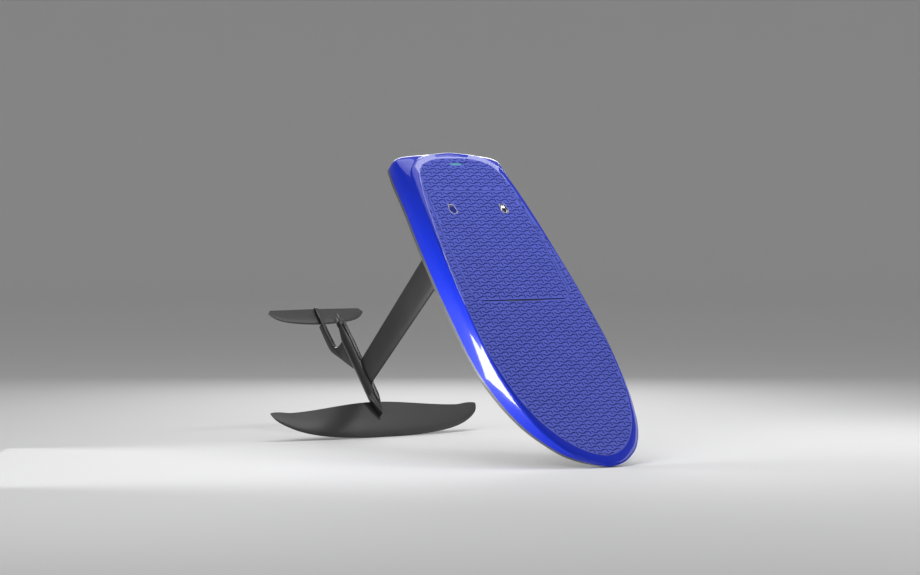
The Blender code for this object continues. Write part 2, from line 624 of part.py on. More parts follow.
def build_hinge():
    """Barrel hinge along the front edge: two outer knuckles on the deck, a middle one on the lid."""
    reach = HINGE_HALF / 2

    def barrel(label, low, high, radius, surface=None, collection=CUTTERS, segments=12):
        return rod(label, (HINGE_X, low, HINGE_Z), (HINGE_X, high, HINGE_Z), radius, surface, collection,
                   segments)

    barrel("hinge_pin", -HINGE_HALF + 0.0005, HINGE_HALF - 0.0005, PIN_R, STEEL, PARTS)
    bore = barrel("hinge_bore", -HINGE_HALF - 0.01, HINGE_HALF + 0.01, PIN_R + GAP)
    lid_leaf = box("hinge_leaf_lid", (HINGE_X - 0.0135, -HINGE_HALF, HINGE_Z - 0.0040),
                   (HINGE_X - 0.0034, HINGE_HALF, HINGE_Z - 0.0022), STEEL)
    knuckle = barrel("knuckle_lid", -reach + 0.0004, reach - 0.0004, HINGE_R, segments=20)
    web = box("web_lid", (HINGE_X - 0.0040, -reach + 0.0004, HINGE_Z - 0.0040),
              (HINGE_X, reach - 0.0004, HINGE_Z), collection=CUTTERS)
    for other in (web, knuckle):
        combine(lid_leaf, other, "UNION")
    combine(lid_leaf, bore)
    deck_leaf = box("hinge_leaf_deck", (HINGE_X + 0.0044, -HINGE_HALF, DECK + GAP),
                    (HINGE_X + 0.0160, HINGE_HALF, DECK + 0.0019), STEEL)
    for side, end in ((-1, "a"), (1, "b")):
        low, high = sorted((side * (reach + 0.0004), side * HINGE_HALF))
        web = box("web_deck_" + end, (HINGE_X, low, HINGE_Z - 0.0018),
                  (HINGE_X + 0.0060, high, DECK + 0.0015), collection=CUTTERS)
        knuckle = barrel("knuckle_deck_" + end, low, high, HINGE_R, segments=20)
        for other in (web, knuckle):
            combine(deck_leaf, other, "UNION")
    combine(deck_leaf, bore)
    groove = box("hinge_groove", (HINGE_X - 0.01, -HINGE_HALF - 0.0007, HINGE_Z - HINGE_R - 0.0008),
                 (HINGE_X + 0.0068, HINGE_HALF + 0.0007, 0.01), collection=CUTTERS)
    combine(PARTS.objects["deck_shell"], groove)
    pad_gap = box("deck_pad_gap", (HINGE_X - 0.01, -HINGE_HALF - 0.0007, -0.02),
                  (HINGE_X + 0.0036, HINGE_HALF + 0.0007, 0.01), collection=CUTTERS)
    leaf_seat = box("deck_leaf_seat", (HINGE_X - 0.01, -HINGE_HALF - 0.0007, -0.02),
                    (HINGE_X + 0.0165, HINGE_HALF + 0.0007, DECK + 0.0023), collection=CUTTERS)
    for cutter in (pad_gap, leaf_seat):
        combine(PARTS.objects["deck_pad"], cutter)


# ---------------------------------------------------------------- mast
def foil_ring(lead, trail, thick, place, points=9):
    """Section of a foil between two x stations; place turns (x, half thickness) into a point."""
    chord = lead - trail
    return [place(lead - a, b) for a, b in foil(chord, thick, points)]


def build_mast():
    def station(height):
        t = (MAST_TOP - height) / (MAST_TOP - MAST_FOOT)
        lead = MAST_X[1] + (MAST_FOOT_X[1] - MAST_X[1]) * t
        trail = MAST_X[0] + (MAST_FOOT_X[0] - MAST_X[0]) * t
        return foil_ring(lead, trail, MAST_THICK, lambda x, half: (x, half, height))

    mast = loft("mast", [station(MAST_TOP), station(MAST_FOOT)], CARBON)
    x = MAST_MID
    duct = rod("mast_duct", (x + 0.008, 0, MAST_TOP + 0.02), (x + 0.004, 0, MAST_FOOT - 0.02), DUCT_R,
               collection=CUTTERS, segments=12)
    combine(mast, duct)
    rod("phase_cable", (x + 0.008, 0, MAST_TOP - 0.001), (x + 0.004, 0, MAST_FOOT + 0.001), DUCT_R - 0.0009,
        RUBBER, segments=12)
    base = plate("mast_base_plate", rounded([(x - 0.120, 0.050, 0.022), (x + 0.120, 0.050, 0.022)], steps=4),
                 BELLY - GAP - PLATE_DEEP, BELLY - GAP, ALLOY)
    block = box("mast_mount_block", (x - 0.130, -0.060, BELLY + SKIN + GAP), (x + 0.130, 0.060, MOUNT_TOP),
                PLASTIC)
    number = 0
    shell = PARTS.objects["bottom_shell"]
    for along in (-1, 1):
        for side in (-1, 1):
            number += 1
            bx, by = x + along * 0.098, side * 0.034

            def bolt_rod(label, low, high, radius, segments, surface=None, collection=CUTTERS):
                return rod("mast_bolt%s_%d" % (label, number), (bx, by, low), (bx, by, high), radius, surface,
                           collection, segments)

            hole = bolt_rod("_hole", BELLY - 0.03, MOUNT_TOP - 0.0006, 0.0043, 12)
            sink = bolt_rod("_sink", BELLY - 0.03, BELLY - 0.0058, 0.0078, 16)
            combine(base, sink)
            for piece in (base, shell, block):
                combine(piece, hole)
            head = bolt_rod("", BELLY - PLATE_DEEP + 0.0008, BELLY - 0.0063, 0.0070, 16, STEEL, PARTS)
            combine(head, bolt_rod("_shank", BELLY - 0.0070, MOUNT_TOP - 0.0012, 0.0040, 12), "UNION")
            combine(head, bolt_rod("_drive", BELLY - 0.03, BELLY - 0.0078, 0.0030, 6))


# ---------------------------------------------------------------- pod, motor and propeller
POD_LINE = [(CONE_REAR, 0.0135), (0.012, 0.0155), (0.035, 0.0195), (0.055, 0.0235), (0.078, 0.0255),
            (0.105, 0.0256), (0.140, POD_R), (POD_FRONT, POD_R)]


def pod_radius(x):
    for (a, low), (b, high) in zip(POD_LINE, POD_LINE[1:]):
        if x <= b:
            return low + (high - low) * (x - a) / (b - a)
    return POD_R


def pod_outline(start, end, grow=0.0):
    inside = [(x, r + grow) for x, r in POD_LINE if start < x < end]
    return [(start, pod_radius(start) + grow)] + inside + [(end, pod_radius(end) + grow)]


def build_pod():
    clear = turned("pod_clearance", [(CONE_REAR - 0.03, 0)] + [(CONE_REAR - 0.03, 0.0135 + GAP)]
                   + pod_outline(CONE_REAR, POD_FRONT, GAP) + [(POD_TIP, POD_R + GAP), (POD_TIP, 0)],
                   collection=CUTTERS)
    turned("motor_housing", pod_outline(POD_REAR, POD_FRONT)
           + [(POD_FRONT, 0.0100), (0.300, 0.0100), (0.300, BORE_R), (POD_REAR, BORE_R)], CARBON)
    turned("tail_cone", pod_outline(CONE_REAR, POD_REAR - GAP)
           + [(POD_REAR - GAP, 0.0200), (0.046, 0.0112), (0.030, 0.0112), (0.030, SHAFT_R + 0.0004),
              (0.010, SHAFT_R + 0.0004), (0.010, 0.0095), (CONE_REAR, 0.0095)], CARBON)
    turned("shaft_seal", [(CONE_REAR + 0.002, 0.0092), (0.0097, 0.0092), (0.0097, SHAFT_R + GAP),
                          (CONE_REAR + 0.002, SHAFT_R + GAP)], RUBBER, steps=20)
    turned("shaft_bearing", [(0.0303, 0.0109), (0.044, 0.0109), (0.044, SHAFT_R + GAP),
                             (0.0303, SHAFT_R + GAP)], STEEL, steps=20)
    turned("motor_stator", [(0.095, BORE_R - GAP), (0.215, BORE_R - GAP), (0.215, 0.0125), (0.095, 0.0125)],
           COPPER)
    turned("motor_rotor", [(0.098, 0.0119), (0.212, 0.0119), (0.212, SHAFT_R + GAP), (0.098, SHAFT_R + GAP)],
           STEEL, steps=24)
    turned("front_bearing", [(0.2163, BORE_R - GAP), (0.226, BORE_R - GAP), (0.226, SHAFT_R + GAP),
                             (0.2163, SHAFT_R + GAP)], STEEL, steps=24)
    turned("prop_shaft", [(PROP_PIVOT_X - 0.0015, 0), (PROP_PIVOT_X - 0.0015, SHAFT_R), (0.226, SHAFT_R),
                          (0.226, 0)], STEEL, steps=20)
    return clear


def nose_rings(grow=0.0):
    """Pod nose sections: from the pod's circle to an upright wedge."""
    rings = []
    count = 24
    for k in range(7):
        t = k / 6
        x = POD_FRONT + GAP + (POD_TIP - POD_FRONT - GAP) * t
        wide = min(POD_R * (1 - t ** 1.25) + 0.0012, POD_R) + grow
        tall = POD_R * (1 - 0.42 * t ** 1.8) + grow
        middle = POD_Z - 0.0040 * t
        rings.append([(x, wide * math.sin(2 * math.pi * i / count),
                       middle + tall * math.cos(2 * math.pi * i / count)) for i in range(count)])
    return rings


def build_nose():
    """The pod's nose is cut to sit over the root of the front wing."""
    nose = loft("pod_nose", nose_rings(), CARBON)
    combine(nose, wing_body("wing_clearance", None, CUTTERS, grow=GAP + 0.0002))
    return nose


def build_fairings(clear):
    """Raised spines on the pod behind and in front of the mast, and the collar round its foot."""
    def spine(name, start, end, top_rear, top_front, half):
        outline = []
        for k in range(7):
            angle = math.radians(90 + 180 * k / 6)
            outline.append((start + half + half * math.cos(angle), half * math.sin(angle)))
        blunt = end - 0.5 * half
        outline += [(blunt, -half), (end, -0.6 * half), (end, 0.6 * half), (blunt, half)]
        body = plate(name, outline, POD_Z + 0.008, max(top_rear, top_front), CARBON)
        if top_rear != top_front:
            lift = math.atan2(top_front - top_rear, end - start)
            wedge = box(name + "_slope", (start - 0.05, -0.05, 0), (end + 0.05, 0.05, 0.05),
                        collection=CUTTERS)
            turn = Matrix.Rotation(-lift, 4, "Y")
            wedge.data.transform(Matrix.Translation((start, 0, top_rear)) @ turn
                                 @ Matrix.Translation((-start, 0, 0)))
            combine(body, wedge)
        combine(body, clear)
        return body

    spine("rear_spine", CONE_REAR + 0.0005, MAST_FOOT_X[0] - 0.0035, POD_Z + 0.0305, POD_Z + 0.0305, 0.0062)
    front = spine("front_spine", MAST_FOOT_X[1] + 0.0075, 0.425, POD_Z + 0.0300, POD_Z + 0.0225, 0.0062)
    combine(front, loft("nose_clearance", nose_rings(GAP), None, CUTTERS))
    collar_long = MAST_FOOT_X[1] - MAST_FOOT_X[0] + 0.010
    outline = [(MAST_FOOT_X[1] + 0.0068 - a, b) for a, b in foil(collar_long, 0.20, 9, tail=0.003)]
    collar = plate("mast_collar", outline, POD_Z + 0.016, MAST_FOOT - GAP, CARBON)
    combine(collar, clear)
    duct = rod("collar_duct", (MAST_MID + 0.004, 0, MAST_FOOT + 0.02), (MAST_MID + 0.004, 0, POD_Z), 0.005,
               collection=CUTTERS, segments=12)
    combine(collar, duct)


def build_propeller():
    """Hub with two slots, and two blades that trail behind it when the motor is off."""
    x = PROP_PIVOT_X
    front = CONE_REAR - 0.0006
    hub = turned("prop_hub", [(x - 0.0085, 0), (x - 0.0085, 0.0095), (x - 0.0045, 0.0155), (front, 0.0155),
                              (front, 0)], ALLOY)
    bore = rod("hub_bore", (x - 0.0018, 0, POD_Z), (0.02, 0, POD_Z), SHAFT_R + GAP, collection=CUTTERS,
               segments=20)
    for side, name in ((1, "upper"), (-1, "lower")):
        z = POD_Z + side * PROP_PIVOT_R
        slot = box("blade_slot_" + name, (x - 0.02, -0.0035, min(z - side * 0.0052, z + side * 0.02)),
                   (x + 0.0056, 0.0035, max(z - side * 0.0052, z + side * 0.02)), collection=CUTTERS)
        combine(hub, slot)
        pin_hole = rod("blade_pin_hole_" + name, (x, -0.02, z), (x, 0.02, z), PIN_R + GAP,
                       collection=CUTTERS, segments=12)
        combine(hub, pin_hole)
        rod("blade_pin_" + name, (x, -0.0085, z), (x, 0.0085, z), PIN_R, STEEL, segments=12)
        build_blade(name, side, x, z, pin_hole)
    combine(hub, bore)


def build_blade(name, side, x, z, pin_hole):
    rings = []
    count = 12
    for k in range(13):
        t = k / 12
        back = 0.0044 - t * (BLADE_LONG + 0.0044)
        grow = ease(-back, 0.0086, 0.0250)
        tip = math.sqrt(max(1 - ease(t, 0.72, 1.0) ** 2 * 0.93, 0.02))
        wide = (0.0030 + 0.0066 * grow) * tip
        tall = (0.0044 * math.sqrt(max(1 - (max(back, 0) / 0.0050) ** 2, 0.1)) * (1 - grow) + 0.0014 * grow)
        arc = side * 0.0022 * grow
        ring = []
        for i in range(count):
            angle = 2 * math.pi * i / count
            y = wide * math.copysign(abs(math.sin(angle)) ** 0.8, math.sin(angle))
            bow = arc * (1 - (y / 0.0100) ** 2)
            up = tall * math.copysign(abs(math.cos(angle)) ** 0.8, math.cos(angle))
            ring.append((x + back, y, z + bow + up))
        rings.append(ring)
    combine(loft("prop_blade_" + name, rings, CARBON), pin_hole)


# ---------------------------------------------------------------- wings and boom
def tip_round(y):
    """0 inboard, then a quarter ellipse up to 1 over the last 26 mm of the wing."""
    t = min(max((abs(y) - WING_HALF + 0.026) / 0.026, 0.0), 1.0)
    return 1 - math.sqrt(1 - t * t)


def wing_lead(y):
    """Leading edge of the front wing: straight across the root, then swept to the tip."""
    t = max(abs(y) - 0.05, 0.0) / (WING_HALF - 0.05)
    return 0.548 - 0.060 * t ** 2 - 0.060 * t ** 6 - 0.022 * tip_round(y)


def wing_trail(y):
    t = abs(y) / WING_HALF
    return 0.372 + 0.034 * ease(t, 0.0, 0.85) - 0.007 * ease(t, 0.8, 0.93) + 0.005 * tip_round(y)


def wing_body(name, surface, collection=PARTS, grow=0.0):
    rings = []
    for k in range(25):
        angle = math.pi * k / 24
        y = -WING_HALF * math.cos(angle)
        lead, trail = wing_lead(y) + grow, wing_trail(y) - grow
        chord = max(lead - trail, 0.006)
        scale = 1 + 2 * grow / (WING_FOIL * chord)
        rings.append([(trail + chord - a, y, WING_Z + b * scale) for a, b in foil(chord, WING_FOIL, 9)])
    return loft(name, rings, surface, collection)


def tail_wing_body():
    rings = []
    for k in range(19):
        angle = math.pi * k / 18
        y = -TAIL_WING_HALF * math.cos(angle)
        t = abs(y) / TAIL_WING_HALF
        lead = -0.109 - 0.030 * t ** 2 - 0.030 * t ** 9
        trail = -0.1915 + 0.002 * t + 0.014 * ease(t, 0.93, 1.0)
        chord = max(lead - trail, 0.004)
        rings.append([(trail + chord - a, y, TAIL_WING_Z + b) for a, b in foil(chord, TAIL_WING_FOIL, 7)])
    return loft("rear_wing", rings, CARBON)


def screw_up(name, x, z_head, z_end, radius, pieces):
    """A socket screw driven upwards; its hole and head seat are cut from the pieces."""
    head = radius * 1.8
    hole = rod(name + "_hole", (x, 0, z_head - 0.03), (x, 0, z_end + 0.0006), radius + GAP,
               collection=CUTTERS, segments=14)
    sink = rod(name + "_sink", (x, 0, z_head - 0.03), (x, 0, z_head + radius + GAP), head + GAP,
               collection=CUTTERS, segments=18)
    combine(pieces[0], sink)
    for piece in pieces:
        combine(piece, hole)
    body = rod(name, (x, 0, z_head), (x, 0, z_head + radius), head, STEEL, segments=18)
    shank = rod(name + "_shank", (x, 0, z_head + radius / 2), (x, 0, z_end), radius, collection=CUTTERS,
                segments=14)
    drive = rod(name + "_drive", (x, 0, z_head - 0.01), (x, 0, z_head + radius * 0.6), radius * 0.75,
                collection=CUTTERS, segments=6)
    combine(body, shank, "UNION")
    combine(body, drive)


def build_boom(clear):
    """Swept web under the pod and the boom that carries the rear wing."""
    low, top = -1.1885, -1.1550
    seat = TAIL_WING_Z + 0.0048
    outline = [(0.211, POD_Z - 0.012), (0.205, -1.0860), (0.173, -1.1050), (0.137, -1.1250), (0.097, -1.1460),
               (0.062, -1.1665), (0.032, -1.1830), (0.006, -1.1875), (-0.035, low), (-0.100, low + 0.001),
               (-0.1035, -1.1850), (-0.1040, seat), (-0.1855, seat)]
    for k in range(6):
        angle = math.radians(-90 - 180 * k / 5)
        outline.append((-0.1855 + 0.0045 * math.cos(angle), seat + 0.0047 + 0.0044 * math.sin(angle)))
    outline += [(-0.170, -1.1620), (0.016, top), (0.030, -1.1535), (0.040, -1.1475), (0.046, -1.1390),
                (0.052, -1.1200), (0.054, POD_Z - 0.012)]
    boom = plate("tail_boom", outline, -0.0072, 0.0072, CARBON, upright=True)
    rounding = boom.modifiers.new("rounding", "BEVEL")
    rounding.width = 0.0022
    rounding.segments = 2
    rounding.limit_method = "ANGLE"
    rounding.angle_limit = math.radians(50)
    combine(boom, clear)
    return boom


def stand_on_floor():
    """Lift the leaning board until it rests on the floor, centred over the origin."""
    bpy.context.view_layer.update()
    graph = bpy.context.evaluated_depsgraph_get()
    low, high = Vector((1e9, 1e9, 1e9)), Vector((-1e9, -1e9, -1e9))
    for obj in PARTS.objects:
        shape = obj.evaluated_get(graph)
        mesh = shape.to_mesh()
        for vertex in mesh.vertices:
            point = shape.matrix_world @ vertex.co
            low = Vector(map(min, low, point))
            high = Vector(map(max, high, point))
        shape.to_mesh_clear()
    FRAME.location -= Vector(((low.x + high.x) / 2, (low.y + high.y) / 2, low.z))


def main():
    deck_shell, bottom_shell = build_hull()
    build_core()
    build_openings(deck_shell)
    build_bay()
    build_hatch()
    build_mast()
    clear = build_pod()
    nose = build_nose()
    build_fairings(clear)
    build_propeller()
    wing = wing_body("front_wing", CARBON)
    rear = tail_wing_body()
    boom = build_boom(clear)
    screw_up("front_wing_screw_1", 0.402, WING_Z - 0.0024, POD_Z - 0.004, 0.0020, (wing, nose))
    screw_up("front_wing_screw_2", 0.430, WING_Z - 0.0048, POD_Z - 0.006, 0.0020, (wing, nose))
    screw_up("rear_wing_screw_1", -0.165, TAIL_WING_Z - 0.0026, -1.1655, 0.0020, (rear, boom))
    screw_up("rear_wing_screw_2", -0.132, TAIL_WING_Z - 0.0036, -1.1655, 0.0020, (rear, boom))
    stand_on_floor()


main()
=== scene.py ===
"""Looks for the electric hydrofoil board that stands on its nose and front wing.

Shapes are worked out in the board's own frame, x forward from the tail, y to port and z up from
the deck pad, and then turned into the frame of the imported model.  Sizes are in metres.
"""
import json
import math

import bmesh
import bpy
from mathutils import Matrix, Vector
from mathutils.geometry import delaunay_2d_cdt


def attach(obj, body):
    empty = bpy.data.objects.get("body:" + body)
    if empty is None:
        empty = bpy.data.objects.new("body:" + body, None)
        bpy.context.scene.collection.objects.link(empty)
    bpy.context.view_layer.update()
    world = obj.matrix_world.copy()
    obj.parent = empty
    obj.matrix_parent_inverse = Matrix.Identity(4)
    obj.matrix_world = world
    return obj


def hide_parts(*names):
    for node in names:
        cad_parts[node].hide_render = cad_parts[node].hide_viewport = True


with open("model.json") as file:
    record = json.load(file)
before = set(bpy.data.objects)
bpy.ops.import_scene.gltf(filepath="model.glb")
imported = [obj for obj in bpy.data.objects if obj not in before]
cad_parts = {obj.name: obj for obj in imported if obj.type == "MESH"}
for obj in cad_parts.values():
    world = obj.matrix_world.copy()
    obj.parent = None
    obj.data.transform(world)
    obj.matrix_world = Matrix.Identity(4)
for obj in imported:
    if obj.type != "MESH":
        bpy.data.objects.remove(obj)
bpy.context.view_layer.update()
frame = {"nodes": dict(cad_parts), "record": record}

NODES = frame["nodes"]
JOINTS = {joint["name"]: joint for joint in frame["record"]["behaviour"]["joints"]}

# ---------------------------------------------------------------- dimensions shared with the CAD
PAD_DEEP = 0.005
GAP = 0.0003
SKIN = 0.004
DECK = -PAD_DEEP - GAP
BELLY = -0.120
ROUND_UNDER = 0.012
SAMPLES = 150                # points along each half outline of the hull
HATCH_CORNERS = [(0.198, 0.199, 0.052), (0.40, 0.2195, 0.30), (0.7405, 0.2265, 0.052)]
HATCH_SLIT = 0.002
HINGE_X, HINGE_Z, HINGE_HALF = 0.7415, -0.0032, 0.080
HINGE_R = 0.0026
LATCH_X, LATCH_Y = 0.2953, 0.1186
RING_R, RING_WIRE, RING_Z = 0.0135, 0.0018, -0.0026
RING_PIVOT_X = LATCH_X - 0.0225
CUP_DEEP = 0.0115
LAMP_X = 0.061
MAST_X, MAST_FOOT_X = (0.176, 0.334), (0.193, 0.313)
MAST_TOP, MAST_FOOT = -0.1306, -1.030
MAST_THICK = 0.125
POD_Z, POD_R = -1.060, 0.0245
POD_REAR, POD_FRONT, POD_TIP, CONE_REAR = 0.070, 0.352, 0.452, -0.005
WING_Z, WING_HALF, WING_FOIL = -1.0830, 0.488, 0.095
TAIL_WING_Z, TAIL_WING_HALF, TAIL_WING_FOIL = -1.1765, 0.228, 0.10

PAD_LINE = [(0.031, 0), (0.034, 0.07), (0.052, 0.133), (0.09, 0.1765), (0.19, 0.2085), (0.333, 0.2315),
            (0.50, 0.2530), (0.67, 0.2685), (0.88, 0.2780), (0.949, 0.2785), (1.01, 0.2740), (1.08, 0.266),
            (1.147, 0.255), (1.209, 0.242), (1.253, 0.228), (1.309, 0.207), (1.35, 0.185), (1.39, 0.158),
            (1.42, 0.131), (1.448, 0.100), (1.470, 0.063), (1.482, 0.030), (1.486, 0)]
RIM_LINE = [(0.010, 0), (0.013, 0.08), (0.026, 0.135), (0.056, 0.178), (0.115, 0.207), (0.33, 0.2395),
            (0.50, 0.2575), (0.67, 0.2720), (0.88, 0.2810), (0.949, 0.2815), (1.01, 0.2775), (1.08, 0.270),
            (1.147, 0.259), (1.209, 0.246), (1.253, 0.232), (1.309, 0.211), (1.352, 0.189), (1.393, 0.162),
            (1.424, 0.135), (1.453, 0.103), (1.476, 0.065), (1.488, 0.031), (1.493, 0)]
CREASE_LINE = [(-0.009, 0), (-0.002, 0.057), (0.004, 0.095), (0.015, 0.1325), (0.033, 0.167), (0.061, 0.196),
               (0.100, 0.220), (0.22, 0.2395), (0.333, 0.2505), (0.457, 0.2615), (0.627, 0.2735),
               (0.805, 0.2815), (0.893, 0.2845), (0.994, 0.2840), (1.066, 0.280), (1.133, 0.2725),
               (1.181, 0.265), (1.224, 0.257), (1.278, 0.243), (1.327, 0.228), (1.374, 0.207),
               (1.416, 0.182), (1.453, 0.153), (1.485, 0.115), (1.514, 0.068), (1.528, 0.020), (1.530, 0)]
WAIST_LINE = [(-0.020, 0), (-0.020, 0.10), (-0.017, 0.185), (-0.010, 0.220), (0.003, 0.239), (0.03, 0.2465),
              (0.087, 0.2505), (0.203, 0.2560), (0.333, 0.2650), (0.457, 0.2735), (0.627, 0.2820),
              (0.805, 0.2870), (0.893, 0.2885), (0.994, 0.2885), (1.066, 0.2850), (1.133, 0.2770),
              (1.224, 0.2600), (1.327, 0.2290), (1.374, 0.2070), (1.416, 0.1790), (1.453, 0.1485),
              (1.485, 0.1085), (1.513, 0.060), (1.524, 0.016), (1.525, 0)]
EDGE_LINE = [(-0.024, 0), (-0.023, 0.10), (-0.019, 0.180), (-0.011, 0.218), (-0.001, 0.235), (0.03, 0.2415),
             (0.087, 0.2485), (0.203, 0.2545), (0.333, 0.2665), (0.457, 0.2755), (0.574, 0.2820),
             (0.675, 0.2850), (0.88, 0.2875), (0.973, 0.2875), (1.049, 0.2850), (1.179, 0.2690),
             (1.287, 0.2430), (1.371, 0.2050), (1.441, 0.1595), (1.485, 0.1005), (1.511, 0.030), (1.515, 0)]

# the board's frame in the model's: its lean from the propeller's axis, its place from the hatch hinge
AXIS = Vector(JOINTS["propeller_spin"]["axis"])
LEAN = math.atan2(-AXIS.z, AXIS.x)
TURN = Matrix.Rotation(LEAN, 4, "Y")
BOARD = Matrix.Translation(Vector(JOINTS["hatch_hinge"]["pos_m"]) - TURN @ Vector((HINGE_X, 0, HINGE_Z))) @ TURN


# ---------------------------------------------------------------- shape helpers
def ease(value, start, end):
    t = min(max((value - start) / (end - start), 0.0), 1.0)
    return t * t * (3 - 2 * t)


def rise(x):
    return 0.10 * max(x - 1.0, 0.0) ** 2


def crease_height(x):
    return rise(x) - 0.015 + 0.005 * ease(x, 0.10, 0.35)


def edge_height(x):
    return BELLY + ROUND_UNDER + 0.104 * min(max((x - 0.85) / 0.665, 0.0), 1.0) ** 1.75


def waist_height(x):
    return 0.55 * crease_height(x) + 0.45 * edge_height(x)


def shoulder_height(x):
    return 0.60 * crease_height(x) + 0.40 * waist_height(x)


def seam_height(x):
    return edge_height(x) + 0.015 - 0.0065 * ease(x, 1.0, 1.45)


def belly_height(x):
    return edge_height(x) - ROUND_UNDER


def curve_through(points, count):
    """Evenly spaced points on a smooth half outline from the tail to the nose centre line."""
    knots = [Vector((x, y)) for x, y in points]
    first = Vector((knots[1].x, -knots[1].y))
    last = Vector((knots[-2].x, -knots[-2].y))
    padded = [first] + knots + [last]
    dense = []
    for a, b, c, d in zip(padded, padded[1:], padded[2:], padded[3:]):
        for k in range(16):
            t = k / 16
            dense.append(0.5 * (2 * b + (c - a) * t + (2 * a - 5 * b + 4 * c - d) * t * t
                                + (3 * b - a - 3 * c + d) * t ** 3))
    dense.append(knots[-1])
    run = [0.0]
    for a, b in zip(dense, dense[1:]):
        run.append(run[-1] + (b - a).length)
    out = []
    k = 0
    for i in range(count):
        want = run[-1] * i / (count - 1)
        while k < len(run) - 2 and run[k + 1] < want:
            k += 1
        part = (want - run[k]) / max(run[k + 1] - run[k], 1e-9)
        out.append(dense[k].lerp(dense[k + 1], min(max(part, 0), 1)))
    return out


def inset(half, distance):
    """Move a half outline inwards; its two ends stay on the centre line."""
    out = []
    for i, point in enumerate(half):
        before = half[i - 1] if i else Vector((half[1].x, -half[1].y))
        after = half[i + 1] if i + 1 < len(half) else Vector((half[-2].x, -half[-2].y))
        along = (after - before).normalized()
        out.append(point + Vector((along.y, -along.x)) * distance)
    return out


def lifted(half, rule):
    """Half outline as points in space, its height a rule of x."""
    return [Vector((p.x, p.y, rule(p.x))) for p in half]


def rounded_path(points, times=2):
    """Cut the corners of an open path; its ends stay."""
    for _ in range(times):
        new = [points[0]]
        for a, b in zip(points, points[1:]):
            new += [a.lerp(b, 0.25), a.lerp(b, 0.75)]
        new[1:2] = []
        new[-1] = points[-1]
        points = new
    return points


def both_sides(half):
    return half + [Vector((p.x, -p.y, p.z)) for p in half[-2:0:-1]]


def rounded(corners, steps=10, grow=0.0):
    """A symmetric outline from (x, y, radius) corners listed tail to nose on the port side."""
    port = [(Vector((x, y)), r) for x, y, r in corners]
    points = ([(Vector((p.x, -p.y)), r) for p, r in reversed(port)] + port)[::-1]
    out = []
    count = len(points)
    for i, (corner, radius) in enumerate(points):
        to_last = (points[i - 1][0] - corner).normalized()
        to_next = (points[(i + 1) % count][0] - corner).normalized()
        half_angle = to_last.angle(to_next) / 2
        reach = radius / math.tan(half_angle)
        centre = corner + (to_last + to_next).normalized() * radius / math.sin(half_angle)
        start = corner + to_last * reach - centre
        sweep = start.angle_signed(corner + to_next * reach - centre)
        for k in range(steps + 1):
            turn = Matrix.Rotation(-sweep * k / steps, 2)
            out.append(centre + turn @ start * (1 + grow / radius))
    return out


def new_object(name, bm, materials, sharp=35):
    """A shaded object from a mesh drawn in the board's frame."""
    bmesh.ops.recalc_face_normals(bm, faces=bm.faces)
    data = bpy.data.meshes.new(name)
    bm.to_mesh(data)
    bm.free()
    data.transform(BOARD)
    for surface in materials:
        data.materials.append(surface)
    data.shade_smooth()
    data.set_sharp_from_angle(angle=math.radians(sharp))
    obj = bpy.data.objects.new(name, data)
    bpy.context.scene.collection.objects.link(obj)
    return obj


def skin(bm, rings, caps="flat"):
    """Faces between closed rings that all have the same number of points."""
    rows = [[bm.verts.new(point) for point in ring] for ring in rings]
    count = len(rows[0])
    for below, above in zip(rows, rows[1:]):
        for i in range(count):
            j = (i + 1) % count
            bm.faces.new((below[i], below[j], above[j], above[i]))
    for ring in (rows[0], rows[-1]):
        if caps == "flat":
            bm.faces.new(ring)
        elif caps == "rungs":
            half = count // 2
            bm.faces.new((ring[0], ring[1], ring[count - 1]))
            for i in range(1, half - 1):
                bm.faces.new((ring[i], ring[i + 1], ring[count - i - 1], ring[count - i]))
            bm.faces.new((ring[half - 1], ring[half], ring[half + 1]))
    return rows


def block(low, high):
    """A box to cut with, in the board's frame."""
    bm = bmesh.new()
    bmesh.ops.create_cube(bm, size=1.0)
    bmesh.ops.scale(bm, vec=Vector(high) - Vector(low), verts=bm.verts)
    bmesh.ops.translate(bm, vec=(Vector(high) + Vector(low)) / 2, verts=bm.verts)
    return new_object("cutter", bm, [])


def prism(outline, low, high):
    bm = bmesh.new()
    skin(bm, [[Vector((p.x, p.y, z)) for p in outline] for z in (low, high)])
    return new_object("cutter", bm, [])


def tube(start, end, radius, steps=32):
    bm = bmesh.new()
    run = Vector(end) - Vector(start)
    turn = Vector((0, 0, 1)).rotation_difference(run).to_matrix().to_4x4()
    bmesh.ops.create_cone(bm, cap_ends=True, segments=steps, radius1=radius, radius2=radius,
                          depth=run.length, matrix=Matrix.Translation((Vector(start) + Vector(end)) / 2) @ turn)
    return new_object("cutter", bm, [])


def carve(obj, cutters, sharp=35):
    """Cut the shapes away for good and shade the result again."""
    for cutter in cutters:
        step = obj.modifiers.new("cut", "BOOLEAN")
        step.operation = "DIFFERENCE"
        step.solver = "EXACT"
        step.object = cutter
    settle(obj, sharp)
    for cutter in cutters:
        bpy.data.objects.remove(cutter, do_unlink=True)
    return obj


def settle(obj, sharp=35):
    """Turn an object's modifiers into its mesh."""
    bpy.context.view_layer.update()
    graph = bpy.context.evaluated_depsgraph_get()
    data = bpy.data.meshes.new_from_object(obj.evaluated_get(graph))
    obj.modifiers.clear()
    obj.data = data
    data.shade_smooth()
    data.set_sharp_from_angle(angle=math.radians(sharp))


